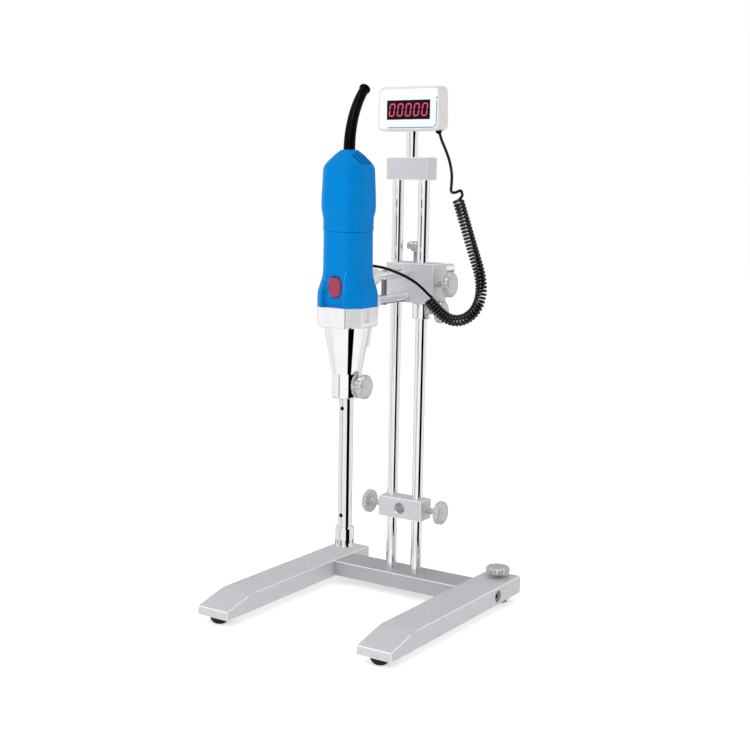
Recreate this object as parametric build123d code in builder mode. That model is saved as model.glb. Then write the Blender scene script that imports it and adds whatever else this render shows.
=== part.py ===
from build123d import *
import os
from math import cos, pi, radians, sin, tan

# Rotor stator homogenizer on a two-column bench stand.
# Millimetres, +X right, +Y back, +Z up, origin on the bench under the middle of the whole part.

# ---------------------------------------------------------------- driving dimensions
# Floor frame
leg_length = 310.0
leg_width = 46.0
leg_height = 22.5
leg_tip_height = 11.0
leg_taper = 48.0
leg_bend_radius = 60.0
base_width = 276.0
foot_height = 9.5
foot_radius = 11.5
foot_stem_radius = 4.0
foot_stem_length = 6.0
foot_inset = 14.0
foot_tread_share = 0.55
foot_dome_share = 0.7
foot_dome_radius = 10.35
beam_depth = 46.0
beam_height = 20.0
beam_drop = 1.5
column_behind_middle = 94.0
beam_bolt_radius = 5.0
beam_bolt_head = 7.4
beam_bolt_head_height = 8.0
beam_bolt_recess = 10.0
beam_bolt_in_beam = 24.0

# Levelling foot of the right leg
level_inset = 19.0
level_pad_radius = 13.0
level_pad_height = 8.0
level_socket_depth = 4.0
level_pad_round_below = 1.5
level_pad_round_above = 2.5
level_knob_stand_off = 2.5

# Columns, bridge and display rod
column_diameter = 14.0
column_spacing = 37.0
column_seat = 12.0
column_bolt_radius = 3.0
column_bolt_head = 5.0
column_bolt_head_height = 3.5
column_bolt_in_column = 14.0
bolt_hole_end_room = 2.0
bar_end_chamfer = 0.6
grub_radius = 3.0
grub_sink = 0.5
bridge_seat = 20.0
bridge_height_above_bench = 527.3
bridge_width = 57.6
bridge_depth = 24.4
bridge_height = 27.4
display_rod_diameter = 14.0
display_rod_seat = 16.0
display_rod_in_case = 12.0

# Digital tachometer display
display_bottom = 586.0
display_height = 52.5
display_width_bottom = 89.0
display_width_top = 86.0
display_depth = 21.0
display_wall = 2.2
display_corner = 7.5
display_cover_depth = 3.3
window_width = 61.0
window_height = 23.0
window_bottom = 13.5
window_thickness = 1.2
window_lip = 1.0
digit_count = 5
digit_pitch = 11.6
digit_width = 10.8
digit_height = 17.0
display_face_round = 2.6
display_cover_round = 2.0
display_screw_radius = 1.25
display_screw_length = 8.0
display_screw_head = 2.6
display_screw_head_height = 1.6
display_screw_recess = 2.2
display_screw_post = 3.2
display_screw_inset_x = 8.5
display_screw_inset_z = 7.0
board_thickness = 1.6
board_width = 76.0
board_height = 27.0
board_gap = 7.0
board_post_x = 36.0
board_post_inset = 3.5
board_post_radius = 2.2
display_cord_x = 37.0

# Sliding carriage
block_bottom = 377.4
block_width = 67.0
block_height = 49.0
block_front_wall = 10.5
block_depth = 35.0
block_offset_x = 6.0
block_knob_height = 24.8
lock_knob_behind = 16.0
block_knob_stand_off = 12.0
block_knob_radius = 15.5
lock_knob_stand_off = 14.0
lock_knob_radius = 13.5

# Arm
arm_rod_diameter = 12.0
upper_rod_height = 36.6
lower_rod_height = 7.6
arm_rear_reach = 106.0
head_reach = 137.5
tie_pin_diameter = 7.0
tie_pin_from_motor = 79.0
bracket_width = 28.0
bracket_plate = 8.5
bracket_tongue_top = 20.0
bracket_tongue_tip = 11.0
bracket_tongue_drop = 28.0
bracket_boss_radius = 10.0
bracket_boss_length = 18.0
bracket_corner = 6.0
bracket_rib = 6.0
bracket_edge = 1.0
bracket_screw_radius = 1.9
bracket_screw_head = 3.4
bracket_screw_head_height = 3.6
bracket_screw_bite = 2.4
bracket_screw_x = 8.5
bracket_screw_above_case = 7.5
bracket_screw_above_rod = 14.5
rod_end_gap = 1.0
rod_socket_wall = 0.5
rod_chamfer = 0.8
tie_pin_overhang = 0.5

# Stop collar and vessel clamp block
collar_radius = 11.3
collar_height = 19.0
collar_knob_lift = 0.5
collar_knob_stand_off = 10.5
collar_knob_radius = 14.0
collar_chamfer = 0.6
clamp_bottom = 101.0
clamp_width = 63.6
clamp_depth = 26.0
clamp_height = 26.3
clamp_bore_radius = 7.0
clamp_mouth_chamfer = 1.0
clamp_knob_stand_off = 15.0

# Knobs
knob_radius = 15.0
knob_thickness = 8.0
knob_flutes = 18
knob_flute_radius = 1.7
knob_neck_radius = 7.0
knob_neck = 2.5
knob_face_rise = 0.8
flute_depth_share = 0.35
stud_radius = 4.0

# Motor head, from the gear case down to the stator and up to the cord guard
case_below_block = 17.9
case_height = 23.5
case_half = 31.6
case_cavity_radius = 17.0
case_edge_round = 3.4
case_recess_width = 13.0
case_recess_height = 15.0
case_recess_depth = 3.0
case_recess_forward = 7.5
case_recess_rise = 14.5
bearing_above_case_bottom = 8.0
housing_height = 86.5
housing_wall = 2.8
grip_half = 25.7
flare_half = 31.3
cover_height = 92.0
cover_half = 28.0
cover_shoulder_half = 26.3
cover_top_half = 8.8
facet_share = 0.43
facet_round = 5.0
flare_heights = (16.0, 21.0, 31.0, 37.0)
flare_step = 0.9
grip_step = 1.2
seam_draw = 0.3
cover_heights = (34.0, 73.0, 78.0, 86.0)
shoulder_step = 3.2
crown_half = 15.2
slot_length = 13.0
slot_width = 2.4
slot_pitch = 5.5
slots_per_shoulder = 4
slot_x = 17.5
slot_y_forward = 3.0
slot_floor = 68.0
guard_radius = 6.8
guard_tip_radius = 5.5
guard_bend_radius = 94.0
guard_bend = 47.0
guard_bead_radius = 6.6
guard_bore_radius = 3.9
guard_bore_depth = 3.8
guard_bead_height = 2.1
guard_bead_sink = 0.5
guard_bead_round = 0.8
guard_stem_radius = 5.3
guard_stem_length = 8.0
guard_stations = 6

cone_height = 84.0
cone_barrel = 29.2
cone_top_radius = 27.2
cone_radius = 17.5
cone_screw_height = 14.5
cone_screw_stand_off = 1.0
cone_screw_radius = 14.5
cone_edge_round = 2.0
cone_pin_direction = -33.0
cone_pin_radius = 1.6
cone_pin_depth = 3.0
cone_floor = 4.0
coupling_room = 3.0
tube_radius = 8.65
tube_bore_radius = 7.0
tube_in_cone = 29.0
tube_length_below_cone = 156.6
tube_hole_radius = 2.5
tube_hole_top = 12.5
tube_hole_bottom = 142.5
head_height = 24.4
head_radius = 11.4
head_bore_radius = 9.0
head_seat = 7.0
head_slots = 14
head_slot_width = 2.3
head_slot_height = 8.4
rotor_height = 12.0
rotor_blade = 2.4
rotor_gap = 0.3
rotor_hub = 2.0
rotor_lift = 1.0
shaft_collar_height = 1.5
head_shoulder = 2.2
head_lip = 0.9
head_floor = 2.0
head_web_clear = 3.0
shaft_radius = 3.0
spindle_radius = 4.0
coupling_radius = 8.0
coupling_length = 26.0
coupling_grip = 12.0
coupling_gap = 1.0
shaft_above_tube = 20.0
bush_length = 12.0

# Motor works
housing_screw_place = 21.6
housing_screw_radius = 1.85
housing_screw_head = 3.1
housing_screw_head_height = 3.2
housing_screw_recess = 5.0
housing_screw_bite = 8.0
housing_boss_radius = 3.6
housing_boss_height = 12.0
lower_bearing_radius = 13.0
upper_bearing_radius = 11.0
bearing_height = 9.0
bearing_shelf = 1.5
bearing_lip = 2.0
spindle_stub = 2.0
fan_above_case = 40.0
fan_height = 9.0
fan_radius = 20.0
fan_disc = 1.6
fan_hub_radius = 8.0
fan_blades = 9
fan_blade_length = 13.0
fan_blade_thickness = 1.4
core_radius = 15.0
core_height = 40.0
core_slots = 12
core_slot_depth = 5.0
core_slot_width = 2.0
winding_height = 7.0
winding_step = 3.5
works_gap = 1.0
air_gap = 0.5
commutator_radius = 9.0
commutator_height = 14.0
brush_width = 7.0
brush_inset = 2.0
sensor_width = 8.0
sensor_depth = 6.0
sensor_height = 9.0

# Switch
switch_width = 20.0
switch_height = 26.0
switch_from_case = 23.5
switch_tilt = 5.0
switch_gap = 0.7
switch_panel_width = 25.0
switch_panel_height = 42.0
switch_panel_drop = 1.0
switch_pivot_behind = 5.0
switch_body_behind = 6.5
pivot_pin_radius = 1.5
pivot_pin_length = 16.0

# Clearances
slide_fit = 0.05
seat_fit = 0.02
bearing_fit = 0.03
part_gap = 0.3
block_edge = 0.8

# Cord
cord_radius = 1.7
coil_radius = 7.5
gland_radius = 3.4
gland_stem_radius = 2.4
gland_x = 9.0
gland_above_bracket = 4.5
gland_ball_extra = 0.6
gland_ball_lift = 1.0
cord_break = 0.05
lead_off_edge = 0.3
lead_straight = 8.0
arc_share = 0.45

# ---------------------------------------------------------------- places worked out from them
column_radius = column_diameter / 2
arm_rod_radius = arm_rod_diameter / 2
front_y = -(leg_length / 2 + column_behind_middle + arm_rear_reach) / 2
base_middle_y = front_y + leg_length / 2
rear_y = front_y + leg_length
column_y = base_middle_y + column_behind_middle
motor_y = column_y - head_reach
arm_rear_y = column_y + arm_rear_reach
leg_x = (base_width - leg_width) / 2
leg_bottom = foot_height
leg_top = leg_bottom + leg_height
beam_top = leg_top - beam_drop
beam_bottom = beam_top - beam_height
beam_length = base_width - 2 * leg_width
beam_middle = beam_bottom + beam_height / 2
column_bottom = beam_top - column_seat
bridge_bottom = bridge_height_above_bench
bridge_top = bridge_bottom + bridge_height
column_top = bridge_bottom + bridge_seat
columns_x = (-column_spacing / 2, column_spacing / 2)
block_top = block_bottom + block_height
upper_rod_z = block_bottom + upper_rod_height
lower_rod_z = block_bottom + lower_rod_height
case_bottom = block_bottom - case_below_block
case_top = case_bottom + case_height
housing_top = case_top + housing_height
cover_top = housing_top + cover_height
crown_thickness = cover_height - cover_heights[2]
cone_bottom = case_bottom - cone_height
tube_top = cone_bottom + tube_in_cone
head_top = cone_bottom - tube_length_below_cone
head_bottom = head_top - head_height
tube_bottom = head_top - head_seat


def level(z):
    """Horizontal plane at height z."""
    return Plane.XY.offset(z)


def facing_front(y):
    """Upright plane at depth y that looks to the front."""
    return Plane(origin=(0, y, 0), x_dir=(1, 0, 0), z_dir=(0, -1, 0))


def facing_side(x, y, z, side):
    """Upright plane at (x, y, z) that looks to the right (side 1) or to the left (side -1)."""
    return Plane(origin=(x, y, z), x_dir=(0, side, 0), z_dir=(side, 0, 0))


# ---------------------------------------------------------------- fasteners and knobs
def cap_screw(seat, head_radius, head_height, shank_radius, shank_length):
    """Socket head screw standing on the plane seat, with its shank below that plane."""
    with BuildPart() as screw:
        with BuildSketch(seat):
            Circle(head_radius)
        extrude(amount=head_height)
        with BuildSketch(seat.offset(head_height)):
            RegularPolygon(radius=0.5 * head_radius, side_count=6)
        extrude(amount=-0.5 * head_height, mode=Mode.SUBTRACT)
        with BuildSketch(seat):
            Circle(shank_radius)
        extrude(amount=-shank_length)
    return screw


def grub_screw(mouth, radius, length):
    """Headless screw that fills a hole from the plane mouth inwards."""
    with BuildPart() as screw:
        with BuildSketch(mouth):
            Circle(radius)
            RegularPolygon(radius=0.5 * radius, side_count=6, mode=Mode.SUBTRACT)
        extrude(amount=-0.4 * length)
        with BuildSketch(mouth.offset(-0.4 * length)):
            Circle(radius)
        extrude(amount=-0.6 * length)
    return screw


def fluted_knob(seat, stand_off, stud_length, radius=knob_radius):
    """Clamping knob: fluted head, neck and stud that runs down through the plane seat."""
    with BuildPart() as knob:
        with BuildSketch(seat.offset(stand_off + knob_neck)):
            Circle(radius)
            with PolarLocations(radius + flute_depth_share * knob_flute_radius, knob_flutes):
                Circle(knob_flute_radius, mode=Mode.SUBTRACT)
        extrude(amount=knob_thickness)
        with BuildSketch(seat.offset(stand_off + knob_neck + knob_thickness)):
            Circle(radius - 2 * knob_flute_radius)
        extrude(amount=knob_face_rise)
        with BuildSketch(seat.offset(stand_off)):
            Circle(knob_neck_radius)
        extrude(amount=knob_neck)
        with BuildSketch(seat.offset(stand_off)):
            Circle(stud_radius)
        extrude(amount=-(stand_off + stud_length))
    return knob


# ---------------------------------------------------------------- floor frame
def floor_leg(side):
    """Floor leg with a sloping toe; side is -1 on the left and 1 on the right."""
    x = side * leg_x
    with BuildPart() as leg:
        with BuildSketch(Plane.YZ.offset(x - leg_width / 2)):
            with BuildLine():
                Polyline(
                    (front_y, leg_bottom),
                    (rear_y, leg_bottom),
                    (rear_y, leg_top),
                    (front_y + leg_taper, leg_top),
                    (front_y, leg_bottom + leg_tip_height),
                    close=True,
                )
            make_face()
        extrude(amount=leg_width)
        bend = leg.edges().filter_by(Axis.X).sort_by_distance((x, front_y + leg_taper, leg_top))[0]
        fillet(bend, leg_bend_radius)
        chamfer(leg.edges(), block_edge)
        outer = facing_side(side * base_width / 2, column_y, beam_middle, side)
        with Locations(outer):
            CounterBoreHole(
                radius=beam_bolt_radius + part_gap,
                counter_bore_radius=beam_bolt_head + part_gap,
                counter_bore_depth=beam_bolt_recess,
                depth=leg_width,
            )
        front_foot = Location((x, front_y + foot_inset, leg_bottom), (180, 0, 0))
        rear_foot = Location((x, rear_y - level_inset, leg_bottom), (180, 0, 0))
        with Locations(front_foot):
            Hole(foot_stem_radius + seat_fit, depth=foot_stem_length + part_gap)
        if side < 0:
            with Locations(rear_foot):
                Hole(foot_stem_radius + seat_fit, depth=foot_stem_length + part_gap)
        else:
            with Locations(rear_foot):
                Hole(stud_radius + slide_fit, depth=leg_height)
    return leg


left_leg = floor_leg(-1)
right_leg = floor_leg(1)

with BuildPart() as cross_beam:
    with BuildSketch(level(beam_bottom)):
        with Locations((0, column_y)):
            Rectangle(beam_length, beam_depth)
    extrude(amount=beam_height)
    chamfer(cross_beam.edges().filter_by(Axis.X), block_edge)
    for x in columns_x:
        with Locations((x, column_y, beam_top)):
            Hole(column_radius + seat_fit, depth=column_seat)
        with Locations(Location((x, column_y, beam_bottom), (180, 0, 0))):
            CounterBoreHole(
                radius=column_bolt_radius + part_gap,
                counter_bore_radius=column_bolt_head + part_gap,
                counter_bore_depth=column_bolt_head_height + part_gap,
                depth=beam_height - column_seat,
            )
    for side in (-1, 1):
        with Locations(facing_side(side * beam_length / 2, column_y, beam_middle, side)):
            Hole(beam_bolt_radius + seat_fit, depth=beam_bolt_in_beam + part_gap)

beam_bolt_seats = [
    facing_side(side * (base_width / 2 - beam_bolt_recess), column_y, beam_middle, side)
    for side in (-1, 1)
]
with BuildPart() as beam_bolts:
    for seat in beam_bolt_seats:
        bolt = cap_screw(
            seat,
            beam_bolt_head,
            beam_bolt_head_height,
            beam_bolt_radius,
            leg_width - beam_bolt_recess + beam_bolt_in_beam,
        )
        add(bolt.part)

with BuildPart() as column_bolts:
    for x in columns_x:
        seat = Plane(
            origin=(x, column_y, beam_bottom + column_bolt_head_height + part_gap),
            x_dir=(1, 0, 0),
            z_dir=(0, 0, -1),
        )
        bolt = cap_screw(
            seat,
            column_bolt_head,
            column_bolt_head_height,
            column_bolt_radius,
            column_bottom - beam_bottom - column_bolt_head_height + column_bolt_in_column,
        )
        add(bolt.part)


def rubber_foot(x, y):
    """Half-dome foot with a stem that is pressed up into the leg."""
    profile_plane = Plane(origin=(x, y, 0), x_dir=(1, 0, 0), z_dir=(0, -1, 0))
    tread = foot_tread_share * foot_radius
    dome = foot_dome_share * leg_bottom
    stem_top = leg_bottom + foot_stem_length
    with BuildPart() as foot:
        with BuildSketch(profile_plane):
            with BuildLine():
                Line((0, 0), (tread, 0))
                RadiusArc((tread, 0), (foot_radius, dome), -foot_dome_radius)
                Polyline(
                    (foot_radius, dome),
                    (foot_radius, leg_bottom),
                    (foot_stem_radius, leg_bottom),
                    (foot_stem_radius, stem_top),
                    (0, stem_top),
                    (0, 0),
                )
            make_face()
        revolve(axis=Axis((x, y, 0), (0, 0, 1)))
    return foot


with BuildPart() as rubber_feet:
    for x, y in (
        (-leg_x, front_y + foot_inset),
        (leg_x, front_y + foot_inset),
        (-leg_x, rear_y - level_inset),
    ):
        add(rubber_foot(x, y).part)

level_stud_bottom = level_pad_height - level_socket_depth
with BuildPart() as levelling_foot:
    with BuildSketch(level(0)):
        with Locations((leg_x, rear_y - level_inset)):
            Circle(level_pad_radius)
    extrude(amount=level_pad_height)
    fillet(levelling_foot.edges().group_by(Axis.Z)[0], level_pad_round_below)
    fillet(levelling_foot.edges().group_by(Axis.Z)[-1], level_pad_round_above)
    with Locations((leg_x, rear_y - level_inset, level_pad_height)):
        Hole(stud_radius + slide_fit, depth=level_socket_depth)

levelling_knob = fluted_knob(
    Plane(origin=(leg_x, rear_y - level_inset, leg_top), x_dir=(1, 0, 0), z_dir=(0, 0, 1)),
    level_knob_stand_off,
    leg_top - level_stud_bottom - slide_fit,
)

# ---------------------------------------------------------------- columns, bridge and display rod
def round_bar(x, y, bottom, top, radius, bolt_hole=0.0):
    """Upright ground bar with broken ends and, where one is asked for, a tapped hole below."""
    with BuildPart() as bar:
        with BuildSketch(level(bottom)):
            with Locations((x, y)):
                Circle(radius)
        extrude(amount=top - bottom)
        chamfer(bar.edges().filter_by(GeomType.CIRCLE), bar_end_chamfer)
        if bolt_hole:
            with Locations(Location((x, y, bottom), (180, 0, 0))):
                Hole(bolt_hole, depth=column_bolt_in_column + bolt_hole_end_room)
    return bar


bolt_hole = column_bolt_radius + seat_fit
left_column = round_bar(columns_x[0], column_y, column_bottom, column_top, column_radius, bolt_hole)
right_column = round_bar(columns_x[1], column_y, column_bottom, column_top, column_radius, bolt_hole)

rod_radius = display_rod_diameter / 2
display_rod = round_bar(
    0, column_y, bridge_top - display_rod_seat, display_bottom + display_rod_in_case, rod_radius
)

bridge_back = column_y + bridge_depth / 2
with BuildPart() as top_bridge:
    with BuildSketch(level(bridge_bottom)):
        with Locations((0, column_y)):
            Rectangle(bridge_width, bridge_depth)
    extrude(amount=bridge_height)
    chamfer(top_bridge.edges(), block_edge)
    for x in columns_x:
        with Locations(Location((x, column_y, bridge_bottom), (180, 0, 0))):
            Hole(column_radius + seat_fit, depth=bridge_seat)
    with Locations((0, column_y, bridge_top)):
        Hole(rod_radius + seat_fit, depth=display_rod_seat)
    grub_plane = Plane(
        origin=(0, bridge_back, bridge_bottom + bridge_height / 2), x_dir=(-1, 0, 0), z_dir=(0, 1, 0)
    )
    with Locations(grub_plane):
        with GridLocations(column_spacing / 2, 1, 3, 1):
            Hole(grub_radius + seat_fit, depth=bridge_depth / 2 - column_radius / 2)

grub_length = bridge_depth / 2 - column_radius - grub_sink - seat_fit
with BuildPart() as bridge_grub_screws:
    for x in (columns_x[0], 0, columns_x[1]):
        mouth = Plane(
            origin=(x, bridge_back - grub_sink, bridge_bottom + bridge_height / 2),
            x_dir=(-1, 0, 0),
            z_dir=(0, 1, 0),
        )
        add(grub_screw(mouth, grub_radius, grub_length).part)

# ---------------------------------------------------------------- display
display_front = column_y - display_depth / 2
display_back = column_y + display_depth / 2
cover_front = display_back - display_cover_depth
display_top = display_bottom + display_height
screw_places = [
    (side * (width / 2 - display_screw_inset_x), z)
    for side in (-1, 1)
    for width, z in (
        (display_width_bottom, display_bottom + display_screw_inset_z),
        (display_width_top, display_top - display_screw_inset_z),
    )
]
board_front = display_front + display_wall + board_gap
board_bottom = display_bottom + display_rod_in_case + 2.0
board_posts = [
    (x, z)
    for x in (-board_post_x, board_post_x)
    for z in (board_bottom + board_post_inset, board_bottom + board_height - board_post_inset)
]


def display_outline(margin):
    """Rounded trapezium of the display case, drawn in by margin."""
    slope = (display_width_bottom - display_width_top) / 2 / display_height
    bottom = display_bottom + margin
    top = display_top - margin
    half_bottom = display_width_bottom / 2 - margin - slope * margin
    half_top = display_width_top / 2 - margin + slope * margin
    Polygon(
        (-half_bottom, bottom), (half_bottom, bottom), (half_top, top), (-half_top, top), align=None
    )


with BuildPart() as display_case:
    with BuildSketch(facing_front(cover_front)) as case_outline:
        display_outline(0)
        fillet(case_outline.vertices(), display_corner)
    extrude(amount=cover_front - display_front)
    fillet(display_case.faces().sort_by(Axis.Y)[0].outer_wire().edges(), display_face_round)
    with BuildSketch(facing_front(cover_front)) as case_inside:
        display_outline(display_wall)
        fillet(case_inside.vertices(), display_corner - display_wall)
    extrude(amount=cover_front - display_front - display_wall, mode=Mode.SUBTRACT)
    window_middle = display_bottom + window_bottom + window_height / 2
    with BuildSketch(facing_front(display_front)):
        with Locations((0, window_middle)):
            Rectangle(window_width, window_height)
    extrude(amount=-window_thickness, mode=Mode.SUBTRACT)
    with BuildSketch(facing_front(display_front)):
        with Locations((0, window_middle)):
            Rectangle(window_width - 2 * window_lip, window_height - 2 * window_lip)
    extrude(amount=-display_wall, mode=Mode.SUBTRACT)
    with BuildSketch(facing_front(cover_front)):
        with Locations(*screw_places):
            Circle(display_screw_post)
    extrude(amount=cover_front - display_front - display_wall)
    with BuildSketch(facing_front(cover_front)):
        with Locations(*screw_places):
            Circle(display_screw_radius + seat_fit)
    extrude(amount=display_screw_length + part_gap, mode=Mode.SUBTRACT)
    with BuildSketch(facing_front(board_front)):
        with Locations(*board_posts):
            Circle(board_post_radius)
    extrude(amount=board_front - display_front - display_wall)
    with BuildSketch(level(display_bottom + display_wall / 2)):
        with Locations((0, (display_front + display_wall / 2 + cover_front) / 2)):
            Rectangle(2 * rod_radius + 5, cover_front - display_front - display_wall / 2)
    extrude(amount=display_rod_in_case - display_wall / 2)
    with Locations(Location((0, column_y, display_bottom), (180, 0, 0))):
        Hole(rod_radius + seat_fit, depth=display_rod_in_case)
    with Locations(Location((display_cord_x, column_y, display_bottom), (180, 0, 0))):
        Hole(gland_stem_radius + seat_fit, depth=display_wall)

with BuildPart() as display_rear_cover:
    with BuildSketch(facing_front(display_back)) as cover_outline:
        display_outline(0)
        fillet(cover_outline.vertices(), display_corner)
    extrude(amount=display_cover_depth)
    fillet(display_rear_cover.faces().sort_by(Axis.Y)[-1].outer_wire().edges(), display_cover_round)
    for x, z in screw_places:
        with Locations(Plane(origin=(x, display_back, z), x_dir=(-1, 0, 0), z_dir=(0, 1, 0))):
            CounterBoreHole(
                radius=display_screw_radius + part_gap,
                counter_bore_radius=display_screw_head + part_gap,
                counter_bore_depth=display_screw_recess,
            )

with BuildPart() as display_screws:
    for x, z in screw_places:
        seat = Plane(
            origin=(x, display_back - display_screw_recess, z), x_dir=(-1, 0, 0), z_dir=(0, 1, 0)
        )
        screw = cap_screw(
            seat,
            display_screw_head,
            display_screw_head_height,
            display_screw_radius,
            display_screw_length,
        )
        add(screw.part)

with BuildPart() as display_window:
    with BuildSketch(facing_front(display_front)):
        with Locations((0, window_middle)):
            Rectangle(window_width - 2 * seat_fit, window_height - 2 * seat_fit)
    extrude(amount=-window_thickness)

with BuildPart() as display_board:
    with BuildSketch(facing_front(board_front)):
        with Locations((0, board_bottom + board_height / 2)):
            Rectangle(board_width, board_height)
    extrude(amount=-board_thickness)

with BuildPart() as display_digits:
    with BuildSketch(facing_front(board_front)):
        with Locations((0, window_middle)):
            with GridLocations(digit_pitch, 1, digit_count, 1):
                Rectangle(digit_width, digit_height)
    extrude(amount=board_front - display_front - window_thickness - 2 * part_gap)

# ---------------------------------------------------------------- sliding carriage
block_middle_y = column_y - block_front_wall + block_depth / 2
block_right = block_offset_x + block_width / 2
block_knob_z = block_bottom + block_knob_height
lock_y = column_y + lock_knob_behind

with BuildPart() as slide_block:
    with BuildSketch(level(block_bottom)):
        with Locations((block_offset_x, block_middle_y)):
            Rectangle(block_width, block_depth)
    extrude(amount=block_height)
    chamfer(slide_block.edges(), block_edge)
    for x in columns_x:
        with Locations((x, column_y, block_top)):
            Hole(column_radius + slide_fit, depth=block_height)
    for z in (upper_rod_z, lower_rod_z):
        with Locations(facing_front(column_y - block_front_wall) * Location((0, z, 0))):
            Hole(arm_rod_radius + slide_fit, depth=block_depth)
    with Locations(facing_side(block_right, column_y, block_knob_z, 1)):
        Hole(stud_radius + slide_fit, depth=block_right - columns_x[1])
    with Locations((0, lock_y, block_top)):
        Hole(stud_radius + slide_fit, depth=block_top - upper_rod_z)

block_knob = fluted_knob(
    facing_side(block_right, column_y, block_knob_z, 1),
    block_knob_stand_off,
    block_right - columns_x[1] - column_radius - part_gap,
    radius=block_knob_radius,
)
arm_lock_knob = fluted_knob(
    Plane(origin=(0, lock_y, block_top), x_dir=(1, 0, 0), z_dir=(0, 0, 1)),
    lock_knob_stand_off,
    block_top - upper_rod_z - arm_rod_radius - part_gap,
    radius=lock_knob_radius,
)

# ---------------------------------------------------------------- arm
bracket_front = motor_y + case_half
bracket_back = bracket_front + bracket_plate
boss_back = bracket_back + bracket_boss_length
bracket_top = upper_rod_z + bracket_boss_radius
tie_y = motor_y + tie_pin_from_motor
bracket_screw_places = [
    (x, z)
    for x in (-bracket_screw_x, bracket_screw_x)
    for z in (case_bottom + bracket_screw_above_case, lower_rod_z + bracket_screw_above_rod)
]


def arm_rod(z):
    """Arm rod along Y with its front end in the bracket and a cross hole for the tie pin."""
    with BuildPart() as rod:
        with BuildSketch(facing_front(arm_rear_y)):
            with Locations((0, z)):
                Circle(arm_rod_radius)
        extrude(amount=arm_rear_y - bracket_front - rod_end_gap)
        chamfer(rod.edges().filter_by(GeomType.CIRCLE), rod_chamfer)
        with Locations((0, tie_y, z + arm_rod_radius)):
            Hole(tie_pin_diameter / 2 + seat_fit, depth=arm_rod_diameter)
    return rod


upper_arm_rod = arm_rod(upper_rod_z)
lower_arm_rod = arm_rod(lower_rod_z)

with BuildPart() as arm_tie_pin:
    with BuildSketch(level(lower_rod_z - arm_rod_radius - tie_pin_overhang)):
        with Locations((0, tie_y)):
            Circle(tie_pin_diameter / 2)
    extrude(amount=upper_rod_z - lower_rod_z + arm_rod_diameter + 2 * tie_pin_overhang)
    chamfer(arm_tie_pin.edges().filter_by(GeomType.CIRCLE), tie_pin_overhang)

with BuildPart() as motor_bracket:
    with BuildSketch(facing_front(bracket_back)) as bracket_plate_outline:
        with BuildLine():
            Polyline(
                (-bracket_width / 2, case_bottom),
                (-bracket_tongue_top / 2, case_bottom),
                (-bracket_tongue_tip / 2, case_bottom - bracket_tongue_drop),
                (bracket_tongue_tip / 2, case_bottom - bracket_tongue_drop),
                (bracket_tongue_top / 2, case_bottom),
                (bracket_width / 2, case_bottom),
                (bracket_width / 2, bracket_top - bracket_corner),
                (bracket_width / 2 - bracket_corner, bracket_top),
                (-bracket_width / 2 + bracket_corner, bracket_top),
                (-bracket_width / 2, bracket_top - bracket_corner),
                close=True,
            )
        make_face()
    extrude(amount=bracket_plate)
    with BuildSketch(facing_front(bracket_back)):
        for z in (upper_rod_z, lower_rod_z):
            with Locations((0, z)):
                Circle(bracket_boss_radius)
        with Locations((0, (upper_rod_z + lower_rod_z) / 2)):
            Rectangle(bracket_rib, upper_rod_z - lower_rod_z)
    extrude(amount=-bracket_boss_length)
    chamfer(motor_bracket.faces().sort_by(Axis.Y)[-1].outer_wire().edges(), bracket_edge)
    for z in (upper_rod_z, lower_rod_z):
        with Locations(Plane(origin=(0, boss_back, z), x_dir=(-1, 0, 0), z_dir=(0, 1, 0))):
            Hole(arm_rod_radius + seat_fit, depth=boss_back - bracket_front - rod_socket_wall)
    for x, z in bracket_screw_places:
        with Locations(Plane(origin=(x, bracket_back, z), x_dir=(-1, 0, 0), z_dir=(0, 1, 0))):
            Hole(bracket_screw_radius + part_gap, depth=bracket_plate)

with BuildPart() as bracket_screws:
    for x, z in bracket_screw_places:
        seat = Plane(origin=(x, bracket_back, z), x_dir=(-1, 0, 0), z_dir=(0, 1, 0))
        screw = cap_screw(
            seat,
            bracket_screw_head,
            bracket_screw_head_height,
            bracket_screw_radius,
            bracket_plate + bracket_screw_bite,
        )
        add(screw.part)

# ---------------------------------------------------------------- stop collar
collar_top = block_bottom - part_gap
collar_bottom = collar_top - collar_height
collar_middle = collar_bottom + collar_height / 2 + collar_knob_lift
with BuildPart() as stop_collar:
    with BuildSketch(level(collar_bottom)):
        with Locations((columns_x[1], column_y)):
            Circle(collar_radius)
            Circle(column_radius + slide_fit, mode=Mode.SUBTRACT)
    extrude(amount=collar_height)
    chamfer(stop_collar.edges().filter_by(GeomType.CIRCLE), collar_chamfer)
    with Locations(facing_side(columns_x[1] + collar_radius, column_y, collar_middle, 1)):
        Hole(stud_radius + slide_fit, depth=collar_radius - column_radius / 2)

stop_collar_knob = fluted_knob(
    facing_side(columns_x[1] + collar_radius, column_y, collar_middle, 1),
    collar_knob_stand_off,
    collar_radius - column_radius - part_gap,
    radius=collar_knob_radius,
)

# ---------------------------------------------------------------- vessel clamp block
clamp_top = clamp_bottom + clamp_height
clamp_middle = clamp_bottom + clamp_height / 2
with BuildPart() as clamp_block:
    with BuildSketch(level(clamp_bottom)):
        with Locations((0, column_y)):
            Rectangle(clamp_width, clamp_depth)
    extrude(amount=clamp_height)
    chamfer(clamp_block.edges(), block_edge)
    for x in columns_x:
        with Locations((x, column_y, clamp_top)):
            Hole(column_radius + slide_fit, depth=clamp_height)
    for side in (-1, 1):
        with Locations(facing_side(side * clamp_width / 2, column_y, clamp_middle, side)):
            Hole(stud_radius + slide_fit, depth=(clamp_width - column_spacing) / 2)
    clamp_mouth = Plane(
        origin=(0, column_y - clamp_depth / 2, clamp_middle), x_dir=(1, 0, 0), z_dir=(0, -1, 0)
    )
    with Locations(clamp_mouth):
        Hole(clamp_bore_radius, depth=clamp_depth)
    mouth_edges = clamp_block.edges().filter_by(GeomType.CIRCLE).group_by(Axis.Y)[0]
    chamfer(mouth_edges, clamp_mouth_chamfer)


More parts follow.
